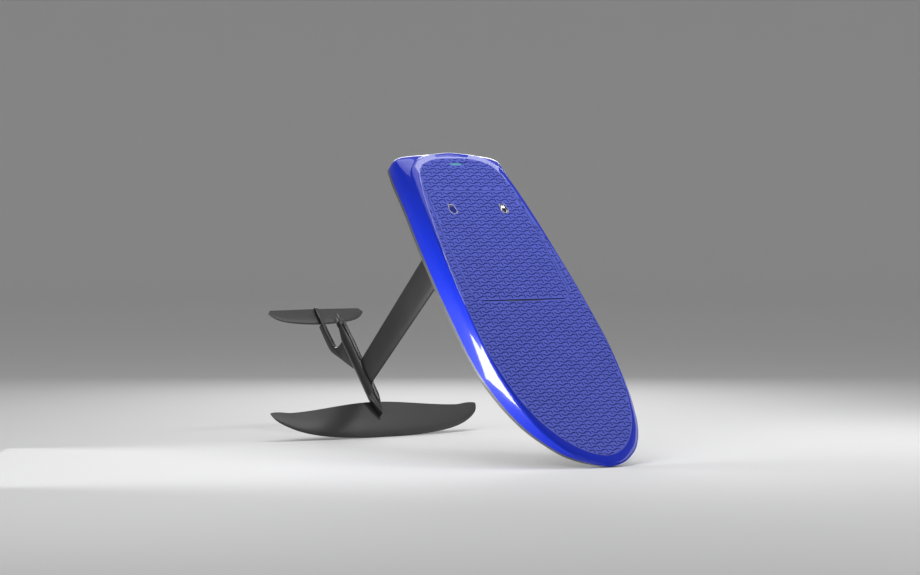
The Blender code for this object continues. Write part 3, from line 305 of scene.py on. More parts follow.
# ---------------------------------------------------------------- materials
class Paint:
    """A material under construction: makes nodes and joins them."""
    def __init__(self, name, colour, roughness, metallic=0.0, **inputs):
        self.material = bpy.data.materials.new(name)
        self.material.use_nodes = True
        self.tree = self.material.node_tree
        self.shader = self.tree.nodes["Principled BSDF"]
        self.shader.inputs["Base Color"].default_value = (*colour, 1)
        self.shader.inputs["Roughness"].default_value = roughness
        self.shader.inputs["Metallic"].default_value = metallic
        for key, value in inputs.items():
            self.shader.inputs[key.replace("_", " ")].default_value = value
        place = self.node("ShaderNodeTexCoord")
        turn = self.node("ShaderNodeMapping")
        turn.vector_type = "POINT"
        turn.inputs["Rotation"].default_value = (0, -LEAN, 0)
        self.join(place.outputs["Object"], turn.inputs["Vector"])
        self.place = turn.outputs["Vector"]

    def node(self, kind, **settings):
        made = self.tree.nodes.new(kind)
        for key, value in settings.items():
            if hasattr(made, key):
                setattr(made, key, value)
            else:
                made.inputs[key].default_value = value
        return made

    def join(self, source, target):
        self.tree.links.new(source, target)

    def noise(self, scale, detail=3.0, stretch=None):
        made = self.node("ShaderNodeTexNoise", Scale=scale, Detail=detail)
        source = self.place
        if stretch:
            mapping = self.node("ShaderNodeMapping")
            mapping.inputs["Scale"].default_value = stretch
            self.join(source, mapping.inputs["Vector"])
            source = mapping.outputs["Vector"]
        self.join(source, made.inputs["Vector"])
        return made.outputs["Fac"]

    def ramp(self, source, stops):
        made = self.node("ShaderNodeValToRGB")
        line = made.color_ramp
        while len(line.elements) < len(stops):
            line.elements.new(0.5)
        for element, (at, colour) in zip(line.elements, stops):
            element.position = at
            element.color = (*colour, 1)
        self.join(source, made.inputs["Fac"])
        return made.outputs["Color"]

    def spread(self, source, low, high):
        made = self.node("ShaderNodeMapRange")
        made.inputs["To Min"].default_value = low
        made.inputs["To Max"].default_value = high
        self.join(source, made.inputs["Value"])
        return made.outputs["Result"]

    def maths(self, operation, a, b=None):
        made = self.node("ShaderNodeMath", operation=operation)
        for value, socket in ((a, made.inputs[0]), (b, made.inputs[1])):
            if value is None:
                continue
            if isinstance(value, (int, float)):
                socket.default_value = value
            else:
                self.join(value, socket)
        return made.outputs[0]

    def bump(self, source, distance, strength=0.5):
        made = self.node("ShaderNodeBump", Strength=strength, Distance=distance)
        self.join(source, made.inputs["Height"])
        self.join(made.outputs["Normal"], self.shader.inputs["Normal"])

    def colour(self, source):
        self.join(source, self.shader.inputs["Base Color"])

    def rough(self, source):
        self.join(source, self.shader.inputs["Roughness"])

    def twill(self, size):
        """Two-by-two twill of fibre bundles, 0 to 1: across the deck and down the rail."""
        split = self.node("ShaderNodeSeparateXYZ")
        self.join(self.place, split.inputs[0])
        x, y, z = split.outputs
        along = self.maths("MULTIPLY", x, 1 / size)
        across = self.maths("MULTIPLY", self.maths("SUBTRACT", self.maths("ABSOLUTE", y), z), 1 / size)
        diagonal = self.maths("FLOOR", along), self.maths("FLOOR", across)
        step = self.maths("FRACT", self.maths("MULTIPLY", self.maths("ADD", *diagonal), 0.25))
        over = self.maths("LESS_THAN", step, 0.49)
        round_a = self.maths("SINE", self.maths("MULTIPLY", self.maths("FRACT", along), math.pi))
        round_b = self.maths("SINE", self.maths("MULTIPLY", self.maths("FRACT", across), math.pi))
        first = self.maths("MULTIPLY", over, round_a)
        second = self.maths("MULTIPLY", self.maths("SUBTRACT", 1.0, over), round_b)
        return self.maths("ADD", first, self.maths("MULTIPLY", second, 0.7))


def hull_blue():
    paint = Paint("gloss_blue_weave", (0.004, 0.024, 0.38), 0.34, Coat_Weight=0.8, Coat_Roughness=0.03,
                  Coat_IOR=1.4, Specular_IOR_Level=0.10)
    weave = paint.twill(0.0030)
    paint.colour(paint.ramp(weave, [(0.0, (0.001, 0.016, 0.46)), (1.0, (0.002, 0.027, 0.62))]))
    paint.rough(paint.spread(weave, 0.36, 0.26))
    return paint.material


def carbon(name, low, high, roughness, coat=0.25):
    paint = Paint(name, high, roughness, Coat_Weight=coat, Coat_Roughness=0.18)
    cloud = paint.noise(9.0, 4.0)
    grain = paint.noise(900.0, 2.0)
    weave = paint.twill(0.0024)
    mixed = paint.maths("ADD", paint.maths("MULTIPLY", cloud, 0.75), paint.maths("MULTIPLY", weave, 0.25))
    paint.colour(paint.ramp(mixed, [(0.25, (low,) * 3), (0.8, (high[0],) * 3)]))
    paint.rough(paint.spread(cloud, roughness - 0.06, roughness + 0.07))
    paint.bump(grain, 0.00003, 0.25)
    return paint.material


def foam(name, dark, light):
    paint = Paint(name, light, 0.86, Sheen_Weight=0.05, Sheen_Roughness=0.5, Specular_IOR_Level=0.25)
    cells = paint.node("ShaderNodeTexVoronoi", Scale=1400.0)
    paint.join(paint.place, cells.inputs["Vector"])
    patches = paint.noise(14.0, 4.0)
    paint.colour(paint.ramp(patches, [(0.25, dark), (0.75, light)]))
    paint.bump(cells.outputs["Distance"], 0.0002, 0.5)
    return paint.material


def metal(name, colour, roughness, scale=260.0):
    paint = Paint(name, colour, roughness, metallic=1.0)
    streaks = paint.noise(scale, 3.0, (1, 12, 1))
    paint.rough(paint.spread(streaks, roughness * 0.75, roughness * 1.25))
    paint.bump(streaks, 0.00002, 0.2)
    return paint.material


def moulded(name, colour, roughness):
    paint = Paint(name, colour, roughness)
    grain = paint.noise(1100.0, 3.0)
    patches = paint.noise(25.0, 3.0)
    shade = tuple(c * 0.8 for c in colour)
    paint.colour(paint.ramp(patches, [(0.3, shade), (0.7, colour)]))
    paint.rough(paint.spread(patches, roughness - 0.05, roughness + 0.06))
    paint.bump(grain, 0.00006, 0.35)
    return paint.material


BLUE = hull_blue()
DARK_SHELL = carbon("dark_shell", 0.060, (0.090, 0.090, 0.094), 0.30, 0.8)
SATIN = carbon("satin_mast_laminate", 0.016, (0.028, 0.028, 0.029), 0.44, 0.15)
WING_PAINT = carbon("satin_wing_laminate", 0.020, (0.032, 0.032, 0.033), 0.46, 0.08)
POD_PAINT = carbon("satin_pod_coat", 0.012, (0.021, 0.021, 0.022), 0.34, 0.25)
PAD_TOP = foam("eva_periwinkle", (0.098, 0.130, 0.620), (0.116, 0.150, 0.700))
# darker foam for the groove walls and floors and the pad's side walls: a painted shade for these recesses
PAD_GROOVE_SHADE = foam("eva_groove_painted_shade", (0.008, 0.019, 0.230), (0.011, 0.024, 0.270))
CHROME = metal("polished_ring", (0.86, 0.86, 0.90), 0.10)
STEEL = metal("brushed_plate", (0.52, 0.52, 0.54), 0.32)
ALLOY = metal("dark_alloy", (0.075, 0.075, 0.080), 0.38)
COPPER = metal("copper_wire", (0.72, 0.32, 0.15), 0.35)
TRIM = metal("latch_trim", (0.34, 0.34, 0.37), 0.42)
NAVY = moulded("navy_cup", (0.012, 0.014, 0.085), 0.45)
BLACK = moulded("black_moulding", (0.020, 0.020, 0.022), 0.50)
RUBBER = moulded("soft_black_rubber", (0.014, 0.014, 0.015), 0.78)
WHITE_FOAM = foam("core_foam", (0.74, 0.73, 0.69), (0.82, 0.81, 0.77))


def lamp_lens():
    paint = Paint("teal_lens", (0.03, 0.20, 0.30), 0.55)
    cells = paint.noise(160.0, 1.0, (1, 3, 1))
    paint.colour(paint.ramp(cells, [(0.35, (0.03, 0.13, 0.24)), (0.7, (0.10, 0.30, 0.48))]))
    paint.shader.inputs["Emission Color"].default_value = (0.05, 0.75, 0.72, 1)
    paint.shader.inputs["Emission Strength"].default_value = 0.16
    return paint.material


LENS = lamp_lens()


# ---------------------------------------------------------------- hull
def hatch_cutters():
    return [prism(rounded(HATCH_CORNERS, 14, HATCH_SLIT), -0.03, 0.02),
            block((LAMP_X - 0.0063, -0.0253, -0.03), (LAMP_X + 0.0063, 0.0253, 0.01)),
            block((HINGE_X - 0.01, -HINGE_HALF - 0.0007, HINGE_Z - HINGE_R - 0.0008),
                  (HINGE_X + 0.0068, HINGE_HALF + 0.0007, 0.01))]


def build_hull():
    rim, crease, waist, edge, pad = (curve_through(line, SAMPLES) for line in
                                     (RIM_LINE, CREASE_LINE, WAIST_LINE, EDGE_LINE, PAD_LINE))
    shoulder = [a.lerp(b, 0.60 + 0.26 * (1 - ease(a.x, 0.05, 0.30))) for a, b in zip(crease, waist)]
    seam = []
    for a, b in zip(waist, edge):
        high, low = waist_height(a.x), edge_height(b.x)
        seam.append(a.lerp(b, (high - seam_height(b.x)) / (high - low)))
    step = inset(pad, -0.0006)
    round_over = [a.lerp(b, 0.72) for a, b in zip(rim, crease)]
    deck = lambda offset: (lambda x: offset + rise(x))
    outer = [lifted(rim, deck(-0.0004)),
             lifted(round_over, lambda x: 0.36 * crease_height(x) + 0.64 * rise(x)),
             lifted(crease, crease_height),
             lifted(shoulder, shoulder_height),
             lifted(waist, waist_height),
             lifted(seam, lambda x: seam_height(x) + GAP)]
    sections = [rounded_path([ring[i] for ring in outer], 3) for i in range(SAMPLES)]
    outer = [list(ring) for ring in zip(*sections)]
    inner = inset(seam, SKIN)
    rings = ([lifted(inset(step, 0.002), deck(DECK)), lifted(step, deck(DECK)), lifted(step, deck(-0.0004))]
             + outer
             + [lifted(inner, lambda x: seam_height(x) + GAP),
                lifted(inset(waist, SKIN + 0.0005), waist_height),
                lifted(inset(shoulder, 0.006), lambda x: shoulder_height(x) - 0.0015),
                lifted(inset(rim, 0.004), deck(DECK - SKIN))])
    bm = bmesh.new()
    skin(bm, [both_sides(ring) for ring in rings], "rungs")
    shell = new_object("deck_shell_skin", bm, [BLUE], 30)
    carve(shell, hatch_cutters(), 30)
    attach(shell, "board")
    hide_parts("deck_shell")

    under = [lifted(seam, seam_height),
             lifted(edge, edge_height),
             lifted(inset(edge, 0.005), lambda x: 0.5 * edge_height(x) + 0.5 * belly_height(x)),
             lifted(inset(edge, 0.014), lambda x: 0.12 * edge_height(x) + 0.88 * belly_height(x)),
             lifted(inset(edge, 0.028), belly_height)]
    sections = [rounded_path([ring[i] for ring in under], 2) for i in range(SAMPLES)]
    under = [list(ring) for ring in zip(*sections)]
    rings = [lifted(inset(edge, 0.034), lambda x: belly_height(x) + SKIN),
             lifted(inset(edge, 0.016), lambda x: belly_height(x) + SKIN),
             lifted(inset(edge, SKIN + 0.001), lambda x: edge_height(x) + 0.0005),
             lifted(inner, seam_height)] + under
    bm = bmesh.new()
    skin(bm, [both_sides(ring) for ring in rings], "rungs")
    base = new_object("bottom_shell_skin", bm, [DARK_SHELL], 40)
    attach(base, "board")
    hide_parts("bottom_shell")


# ---------------------------------------------------------------- deck pads
MOTIF_ALONG, MOTIF_ACROSS = 0.0352, 0.058    # spacing of the embossed motif
GROOVE = 0.0011


def stroke(points, widths):
    """Outline of a stroke with round ends, as points in the plane."""
    left, right = [], []
    for i, point in enumerate(points):
        before = points[max(i - 1, 0)]
        after = points[min(i + 1, len(points) - 1)]
        along = (after - before).normalized()
        side = Vector((-along.y, along.x)) * widths[i] / 2
        left.append(point + side)
        right.append(point - side)
    end = (points[-1] - points[-2]).normalized() * widths[-1] * 0.4
    start = (points[0] - points[1]).normalized() * widths[0] * 0.4
    return left + [points[-1] + end] + right[::-1] + [points[0] + start]


# centre lines of the two strokes, each point with the width of the stroke there, in millimetres
WING_STROKE = [(-7.6, -15.0, 5.8), (-5.2, -11.0, 5.2), (-2.6, -6.0, 4.8), (-0.8, -1.5, 4.6), (-0.8, 2.5, 4.6),
               (-2.6, 6.5, 4.8), (-4.9, 11.0, 5.1), (-6.9, 15.5, 5.4), (-7.7, 20.0, 5.8), (-6.8, 25.0, 6.4)]
STEM_STROKE = [(-9.0, 31.8, 5.5), (-6.5, 32.3, 5.1), (-3.5, 32.5, 4.9), (-0.5, 32.7, 4.9), (2.0, 33.0, 5.1),
               (4.5, 33.8, 5.5)]


def motif(x, y):
    """Two strokes: a wide bird-like V with an S-curved arm, and a short stem beside it."""
    for line in (WING_STROKE, STEM_STROKE):
        yield [(Vector((x + a / 1000, y + b / 1000)), width / 1000) for a, b, width in line]


def trimmed(line, keep, bare):
    """The parts of a stroke's centre line that lie inside one loop and outside the others."""
    parts = [[]]
    for point, width in line:
        if inside(point, keep) and not any(inside(point, loop) for loop in bare):
            parts[-1].append((point, width))
        else:
            parts.append([])
    return [part for part in parts if len(part) > 2]


def inside(point, outline):
    hit = False
    for a, b in zip(outline, outline[1:] + outline[:1]):
        if (a.y > point.y) != (b.y > point.y):
            if point.x < (b.x - a.x) * (point.y - a.y) / (b.y - a.y) + a.x:
                hit = not hit
    return hit


def pad_body(name, outline, openings, keep, bare, body, node):
    """A foam pad whose surface is grooved, the groove walls and floors and the pad's side walls in a darker foam
    colour that paints the shade of these recesses: outline and through openings are loops, keep and bare are the
    loops that a groove has to be inside or outside."""
    loops = [outline] + openings
    grooves = []
    rows = int(1.6 / (MOTIF_ALONG / 2))
    low, high = min(p.x for p in keep) - MOTIF_ALONG, max(p.x for p in keep) + MOTIF_ALONG
    for row in range(rows):
        x = row * MOTIF_ALONG / 2 + 0.004
        if not low < x < high:
            continue
        offset = MOTIF_ACROSS / 2 if row % 2 else 0.0
        for column in range(-6, 7):
            for line in motif(x, column * MOTIF_ACROSS + offset + 0.006):
                for part in trimmed(line, keep, bare):
                    grooves.append(stroke([p for p, _ in part], [w for _, w in part]))
    grooved = {(round(p.x, 5), round(p.y, 5)) for loop in grooves for p in loop}
    points, faces = [], []
    for loop in loops + grooves:
        faces.append(list(range(len(points), len(points) + len(loop))))
        points += [Vector((p.x, p.y)) for p in loop]
    verts, _, triangles, _, _, _ = delaunay_2d_cdt(points, [], faces, 2, 1e-6)
    bm = bmesh.new()
    made = [bm.verts.new((p.x, p.y, rise(p.x))) for p in verts]
    for triangle in triangles:
        bm.faces.new([made[i] for i in triangle])
    for face in bm.faces:
        face.material_index = 0
    bm.normal_update()
    # the walls and floors of the grooves and the pad's side walls take the darker foam, a painted shade
    for loop in rims(bm):
        small = (round(loop[0].co.x, 5), round(loop[0].co.y, 5)) in grooved
        floor = -GROOVE if small else -PAD_DEEP
        low = [bm.verts.new((v.co.x, v.co.y, rise(v.co.x) + floor)) for v in loop]
        for i, vertex in enumerate(loop):
            j = (i + 1) % len(loop)
            bm.faces.new((vertex, loop[j], low[j], low[i])).material_index = 1
        if small:
            bm.faces.new(low).material_index = 1
    bottom = [edge for edge in bm.edges if edge.is_boundary]
    filled = bmesh.ops.triangle_fill(bm, use_beauty=True, use_dissolve=False, edges=bottom)
    for face in filled["geom"]:
        if isinstance(face, bmesh.types.BMFace):
            face.material_index = 1
    pad = new_object(name, bm, [PAD_TOP, PAD_GROOVE_SHADE], 25)
    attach(pad, body)
    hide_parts(node)
    return pad


def rims(bm):
    """The boundary loops of an open mesh, each as a list of vertices in order."""
    left = {edge for edge in bm.edges if edge.is_boundary}
    loops = []
    while left:
        edge = left.pop()
        loop = [edge.verts[0], edge.verts[1]]
        while True:
            step = next((e for e in loop[-1].link_edges if e in left), None)
            if step is None:
                break
            left.discard(step)
            vertex = step.other_vert(loop[-1])
            if vertex is loop[0]:
                break
            loop.append(vertex)
        loops.append(loop)
    return loops


def flat(half):
    return [Vector((p.x, p.y)) for p in half] + [Vector((p.x, -p.y)) for p in half[-2:0:-1]]


def build_pads():
    half = curve_through(PAD_LINE, 130)
    opening = rounded(HATCH_CORNERS, 12, HATCH_SLIT)
    seat = HINGE_HALF + 0.0007
    front = opening[0].x
    opening += [Vector((front, -seat)), Vector((HINGE_X + 0.0036, -seat)), Vector((HINGE_X + 0.0036, seat)),
                Vector((front, seat))]
    lamp = [Vector((LAMP_X + a * 0.0063, b * 0.0253)) for a, b in ((-1, -1), (1, -1), (1, 1), (-1, 1))]
    lamp_clear = [Vector((LAMP_X + a * 0.009, b * 0.028)) for a, b in ((-1, -1), (1, -1), (1, 1), (-1, 1))]
    pad_body("deck_pad_grooved", flat(half), [opening, lamp], flat(inset(half, 0.0036)),
             [rounded(HATCH_CORNERS, 12, HATCH_SLIT + 0.0024), lamp_clear], "board", "deck_pad")
    lid = [Vector((min(p.x, HINGE_X - 0.0046), p.y)) for p in rounded(HATCH_CORNERS, 12)]
    cups = []
    clear = []
    for side in (1, -1):
        cups.append(cup_outline(side * LATCH_Y, 0.0006))
        clear.append(cup_outline(side * LATCH_Y, 0.0030))
    pad_body("hatch_pad_grooved", lid, cups, rounded(HATCH_CORNERS, 12, -0.0055), clear, "hatch", "hatch_pad")


def cup_outline(y, grow, steps=24):
    ring = RING_R + 0.0042 + grow
    neck = 0.0125 + grow
    out = []
    for k in range(steps + 1):
        angle = math.radians(-125 + 250 * k / steps)
        out.append(Vector((LATCH_X + ring * math.cos(angle), y + ring * math.sin(angle))))
    return out + [Vector((RING_PIVOT_X - 0.0070 - grow, y + neck)), Vector((RING_PIVOT_X - 0.0070 - grow, y - neck))]


# ---------------------------------------------------------------- latch trim
def build_latch_trim():
    """A thin bright rim round the mouth of each latch cup."""
    for side, name in ((1, "port"), (-1, "starboard")):
        outer, inner = (cup_outline(side * LATCH_Y, grow) for grow in (-0.0001, -0.0017))
        bm = bmesh.new()
        rows = [[bm.verts.new((p.x, p.y, z)) for p in line]
                for line, z in ((outer, -0.0004), (outer, 0.0001), (inner, 0.0001), (inner, -0.0004))]
        for a, b in zip(rows, rows[1:] + rows[:1]):
            for i in range(len(a)):
                j = (i + 1) % len(a)
                bm.faces.new((a[i], a[j], b[j], b[i]))
        rim = new_object("latch_rim_" + name, bm, [TRIM])
        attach(rim, "hatch")


# ---------------------------------------------------------------- foils, pod and boom
def foil(chord, thick, points=30, tail=0.0005):
    """Symmetric aerofoil section, (distance behind the leading edge, half thickness) pairs,
    round the section from the trailing edge over the top and back."""
    upper = []
    for i in range(points + 1):
        t = (1 - math.cos(math.pi * i / points)) / 2
        half = 5 * thick * (0.2969 * math.sqrt(t) - 0.1260 * t - 0.3516 * t ** 2
                            + 0.2843 * t ** 3 - 0.1036 * t ** 4)
        upper.append((t * chord, half * chord + tail / 2 * t))
    return upper[::-1] + [(a, -b) for a, b in upper[1:]]


def loft(name, rings, material=None, sharp=35):
    bm = bmesh.new()
    skin(bm, rings)
    return new_object(name, bm, [material] if material else [], sharp)


def stands_for(obj, node, body):
    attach(obj, body)
    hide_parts(node)
    return obj


def tip_round(y):
    """0 inboard, then a quarter ellipse up to 1 over the last 26 mm of the wing."""
    t = min(max((abs(y) - WING_HALF + 0.026) / 0.026, 0.0), 1.0)
    return 1 - math.sqrt(1 - t * t)


def wing_lead(y):
    """Leading edge of the front wing: straight across the root, then swept to the tip."""
    t = max(abs(y) - 0.05, 0.0) / (WING_HALF - 0.05)
    return 0.548 - 0.060 * t ** 2 - 0.060 * t ** 6 - 0.022 * tip_round(y)


def wing_trail(y):
    t = abs(y) / WING_HALF
    return 0.372 + 0.034 * ease(t, 0.0, 0.85) - 0.007 * ease(t, 0.8, 0.93) + 0.005 * tip_round(y)


def wing_rings(grow=0.0, stations=97):
    rings = []
    for k in range(stations):
        y = -WING_HALF * math.cos(math.pi * k / (stations - 1))
        lead, trail = wing_lead(y) + grow, wing_trail(y) - grow
        chord = max(lead - trail, 0.006)
        scale = 1 + 2 * grow / (WING_FOIL * chord)
        rings.append([Vector((trail + chord - a, y, WING_Z + b * scale)) for a, b in foil(chord, WING_FOIL)])
    return rings


def tail_wing_rings(stations=73):
    rings = []
    for k in range(stations):
        y = -TAIL_WING_HALF * math.cos(math.pi * k / (stations - 1))
        t = abs(y) / TAIL_WING_HALF
        lead = -0.109 - 0.030 * t ** 2 - 0.030 * t ** 9
        trail = -0.1915 + 0.002 * t + 0.014 * ease(t, 0.93, 1.0)
        chord = max(lead - trail, 0.004)
        rings.append([Vector((trail + chord - a, y, TAIL_WING_Z + b)) for a, b in foil(chord, TAIL_WING_FOIL)])
    return rings


def screw_cutters(x, head_z, end_z, radius):
    """The hole and the head seat of a screw driven upwards."""
    head = radius * 1.8 + GAP
    return [tube((x, 0, head_z - 0.03), (x, 0, end_z + 0.0006), radius + GAP),
            tube((x, 0, head_z - 0.03), (x, 0, head_z + radius + GAP), head)]


def front_screws():
    return (screw_cutters(0.402, WING_Z - 0.0024, POD_Z - 0.004, 0.0020)
            + screw_cutters(0.430, WING_Z - 0.0048, POD_Z - 0.006, 0.0020))


def rear_screws():
    return (screw_cutters(-0.165, TAIL_WING_Z - 0.0026, -1.1655, 0.0020)
            + screw_cutters(-0.132, TAIL_WING_Z - 0.0036, -1.1655, 0.0020))


POD_LINE = rounded_path([Vector(p) for p in (
    (CONE_REAR, 0.0135), (0.012, 0.0155), (0.035, 0.0195), (0.055, 0.0235), (0.078, 0.0255), (0.105, 0.0256),
    (0.140, POD_R), (POD_FRONT, POD_R))], 2)


def pod_radius(x):
    for a, b in zip(POD_LINE, POD_LINE[1:]):
        if x <= b.x:
            return a.y + (b.y - a.y) * (x - a.x) / (b.x - a.x)
    return POD_R


def pod_outline(start, end, grow=0.0):
    between = [(p.x, p.y + grow) for p in POD_LINE if start < p.x < end]
    return [(start, pod_radius(start) + grow)] + between + [(end, pod_radius(end) + grow)]


def turned(name, profile, material=None, steps=96, sharp=30):
    """A shape turned about the pod's axis from (x, radius) pairs; closes on itself."""
    bm = bmesh.new()
    rows = []
    for x, radius in profile:
        if radius < 1e-6:
            rows.append([bm.verts.new((x, 0, POD_Z))] * steps)
        else:
            rows.append([bm.verts.new((x, radius * math.sin(2 * math.pi * i / steps),
                                       POD_Z + radius * math.cos(2 * math.pi * i / steps)))
                         for i in range(steps)])
    for a, b in zip(rows, rows[1:] + rows[:1]):
        for i in range(steps):
            j = (i + 1) % steps
            corners = list(dict.fromkeys((a[i], a[j], b[j], b[i])))
            if len(corners) > 2:
                bm.faces.new(corners)
    return new_object(name, bm, [material] if material else [], sharp)


def pod_clearance():
    return turned("cutter", [(CONE_REAR - 0.03, 0)] + [(CONE_REAR - 0.03, 0.0135 + GAP)]
                  + pod_outline(CONE_REAR, POD_FRONT, GAP) + [(POD_TIP, POD_R + GAP), (POD_TIP, 0)])


def nose_rings(grow=0.0, stations=27, count=72):
    rings = []
    for k in range(stations):
        t = k / (stations - 1)
        x = POD_FRONT + GAP + (POD_TIP - POD_FRONT - GAP) * t
        wide = min(POD_R * (1 - t ** 1.25) + 0.0012, POD_R) + grow
        tall = POD_R * (1 - 0.42 * t ** 1.8) + grow
        middle = POD_Z - 0.0040 * t
        rings.append([Vector((x, wide * math.sin(2 * math.pi * i / count),
                              middle + tall * math.cos(2 * math.pi * i / count))) for i in range(count)])
    return rings


def softened(obj, width, sharp=35, segments=3):
    """Round an object's sharp edges for good."""
    step = obj.modifiers.new("rounding", "BEVEL")
    step.width = width
    step.segments = segments
    step.limit_method = "ANGLE"
    step.angle_limit = math.radians(50)
    settle(obj, sharp)
    return obj


def build_pod():
    housing = turned("motor_housing_skin", pod_outline(POD_REAR, POD_FRONT)
                     + [(POD_FRONT, 0.0100), (0.300, 0.0100), (0.300, 0.0203), (POD_REAR, 0.0203)], POD_PAINT)
    stands_for(housing, "motor_housing", "board")
    cone = turned("tail_cone_skin", pod_outline(CONE_REAR, POD_REAR - GAP)
                  + [(POD_REAR - GAP, 0.0200), (0.046, 0.0112), (0.030, 0.0112), (0.030, 0.0054),
                     (0.010, 0.0054), (0.010, 0.0095), (CONE_REAR, 0.0095)], POD_PAINT)
    stands_for(cone, "tail_cone", "board")
    nose = loft("pod_nose_skin", nose_rings(), POD_PAINT)
    wing_gap = loft("cutter", wing_rings(GAP + 0.0002, 49))
    stands_for(carve(nose, [wing_gap] + front_screws()), "pod_nose", "board")

    def spine(name, start, end, top_rear, top_front, half):
        outline = []
        for k in range(19):
            angle = math.radians(90 + 10 * k)
            outline.append((start + half + half * math.cos(angle), half * math.sin(angle)))
        blunt = end - 0.5 * half
        outline += [(blunt, -half), (end, -0.6 * half), (end, 0.6 * half), (blunt, half)]
        slope = (top_front - top_rear) / (end - start)
        rings = [[Vector((x, y, POD_Z + 0.008)) for x, y in outline],
                 [Vector((x, y, top_rear + slope * (x - start))) for x, y in outline]]
        body = softened(loft(name, rings, POD_PAINT), 0.0012)
        cutters = [pod_clearance()]
        if start > POD_REAR:
            cutters.append(loft("cutter", nose_rings(GAP)))
        return carve(body, cutters)

    stands_for(spine("rear_spine_skin", CONE_REAR + 0.0005, MAST_FOOT_X[0] - 0.0035, POD_Z + 0.0305,
                     POD_Z + 0.0305, 0.0062), "rear_spine", "board")
    stands_for(spine("front_spine_skin", MAST_FOOT_X[1] + 0.0075, 0.425, POD_Z + 0.0300,
                     POD_Z + 0.0225, 0.0062), "front_spine", "board")
    collar_long = MAST_FOOT_X[1] - MAST_FOOT_X[0] + 0.010
    outline = [(MAST_FOOT_X[1] + 0.0068 - a, b) for a, b in foil(collar_long, 0.20, 30, tail=0.003)]
    collar = loft("mast_collar_skin", [[Vector((x, y, z)) for x, y in outline]
                                       for z in (POD_Z + 0.016, MAST_FOOT - GAP)], POD_PAINT)
    middle = (MAST_FOOT_X[0] + MAST_FOOT_X[1]) / 2
    duct = tube((middle + 0.004, 0, MAST_FOOT + 0.02), (middle + 0.004, 0, POD_Z), 0.005)
    stands_for(carve(collar, [pod_clearance(), duct]), "mast_collar", "board")


def build_mast():
    rings = []
    for height in (MAST_TOP, MAST_FOOT):
        t = (MAST_TOP - height) / (MAST_TOP - MAST_FOOT)
        lead = MAST_X[1] + (MAST_FOOT_X[1] - MAST_X[1]) * t
        trail = MAST_X[0] + (MAST_FOOT_X[0] - MAST_X[0]) * t
        rings.append([Vector((lead - a, b, height)) for a, b in foil(lead - trail, MAST_THICK, 40)])
    middle = (MAST_X[0] + MAST_X[1]) / 2
    duct = tube((middle + 0.008, 0, MAST_TOP + 0.02), (middle + 0.004, 0, MAST_FOOT - 0.02), 0.0045)
    stands_for(carve(loft("mast_skin", rings, SATIN), [duct]), "mast", "board")


def build_wings():
    front = carve(loft("front_wing_skin", wing_rings(), WING_PAINT), front_screws())
    stands_for(front, "front_wing", "board")
    rear = carve(loft("rear_wing_skin", tail_wing_rings(), WING_PAINT), rear_screws())
    stands_for(rear, "rear_wing", "board")


BOOM_LOW, BOOM_TOP, BOOM_HALF = -1.1885, -1.1550, 0.0072
BOOM_SEAT = TAIL_WING_Z + 0.0048


def build_boom():
    under = [(0.211, POD_Z - 0.012), (0.205, -1.0860), (0.173, -1.1050), (0.137, -1.1250), (0.097, -1.1460),
             (0.062, -1.1665), (0.032, -1.1830), (0.006, -1.1875), (-0.035, BOOM_LOW),
             (-0.100, BOOM_LOW + 0.001)]
    over = [(-0.170, -1.1620), (0.016, BOOM_TOP), (0.030, -1.1535), (0.040, -1.1475), (0.046, -1.1390),
            (0.052, -1.1200), (0.054, POD_Z - 0.012)]
    under, over = ([(p.x, p.y) for p in rounded_path([Vector(q) for q in line], 3)] for line in (under, over))
    outline = under + [(-0.1035, -1.1850), (-0.1040, BOOM_SEAT), (-0.1855, BOOM_SEAT)]
    for k in range(13):
        angle = math.radians(-90 - 15 * k)
        outline.append((-0.1855 + 0.0045 * math.cos(angle), BOOM_SEAT + 0.0047 + 0.0044 * math.sin(angle)))
    outline += over
    rings = [[Vector((x, y, z)) for x, z in outline] for y in (-BOOM_HALF, BOOM_HALF)]
    boom = softened(loft("tail_boom_skin", rings, POD_PAINT), 0.0020)
    channel = block((-0.150, -0.0026, -1.1625), (0.010, 0.0026, -1.1400))
    channel.data.transform(BOARD @ Matrix.Translation((0, 0, 0.0019)) @ BOARD.inverted())
    stands_for(carve(boom, [pod_clearance(), channel] + rear_screws()), "tail_boom", "board")


PIVOT_X, PIVOT_R, BLADE_LONG, PIN_R = -0.016, 0.0108, 0.047, 0.0012


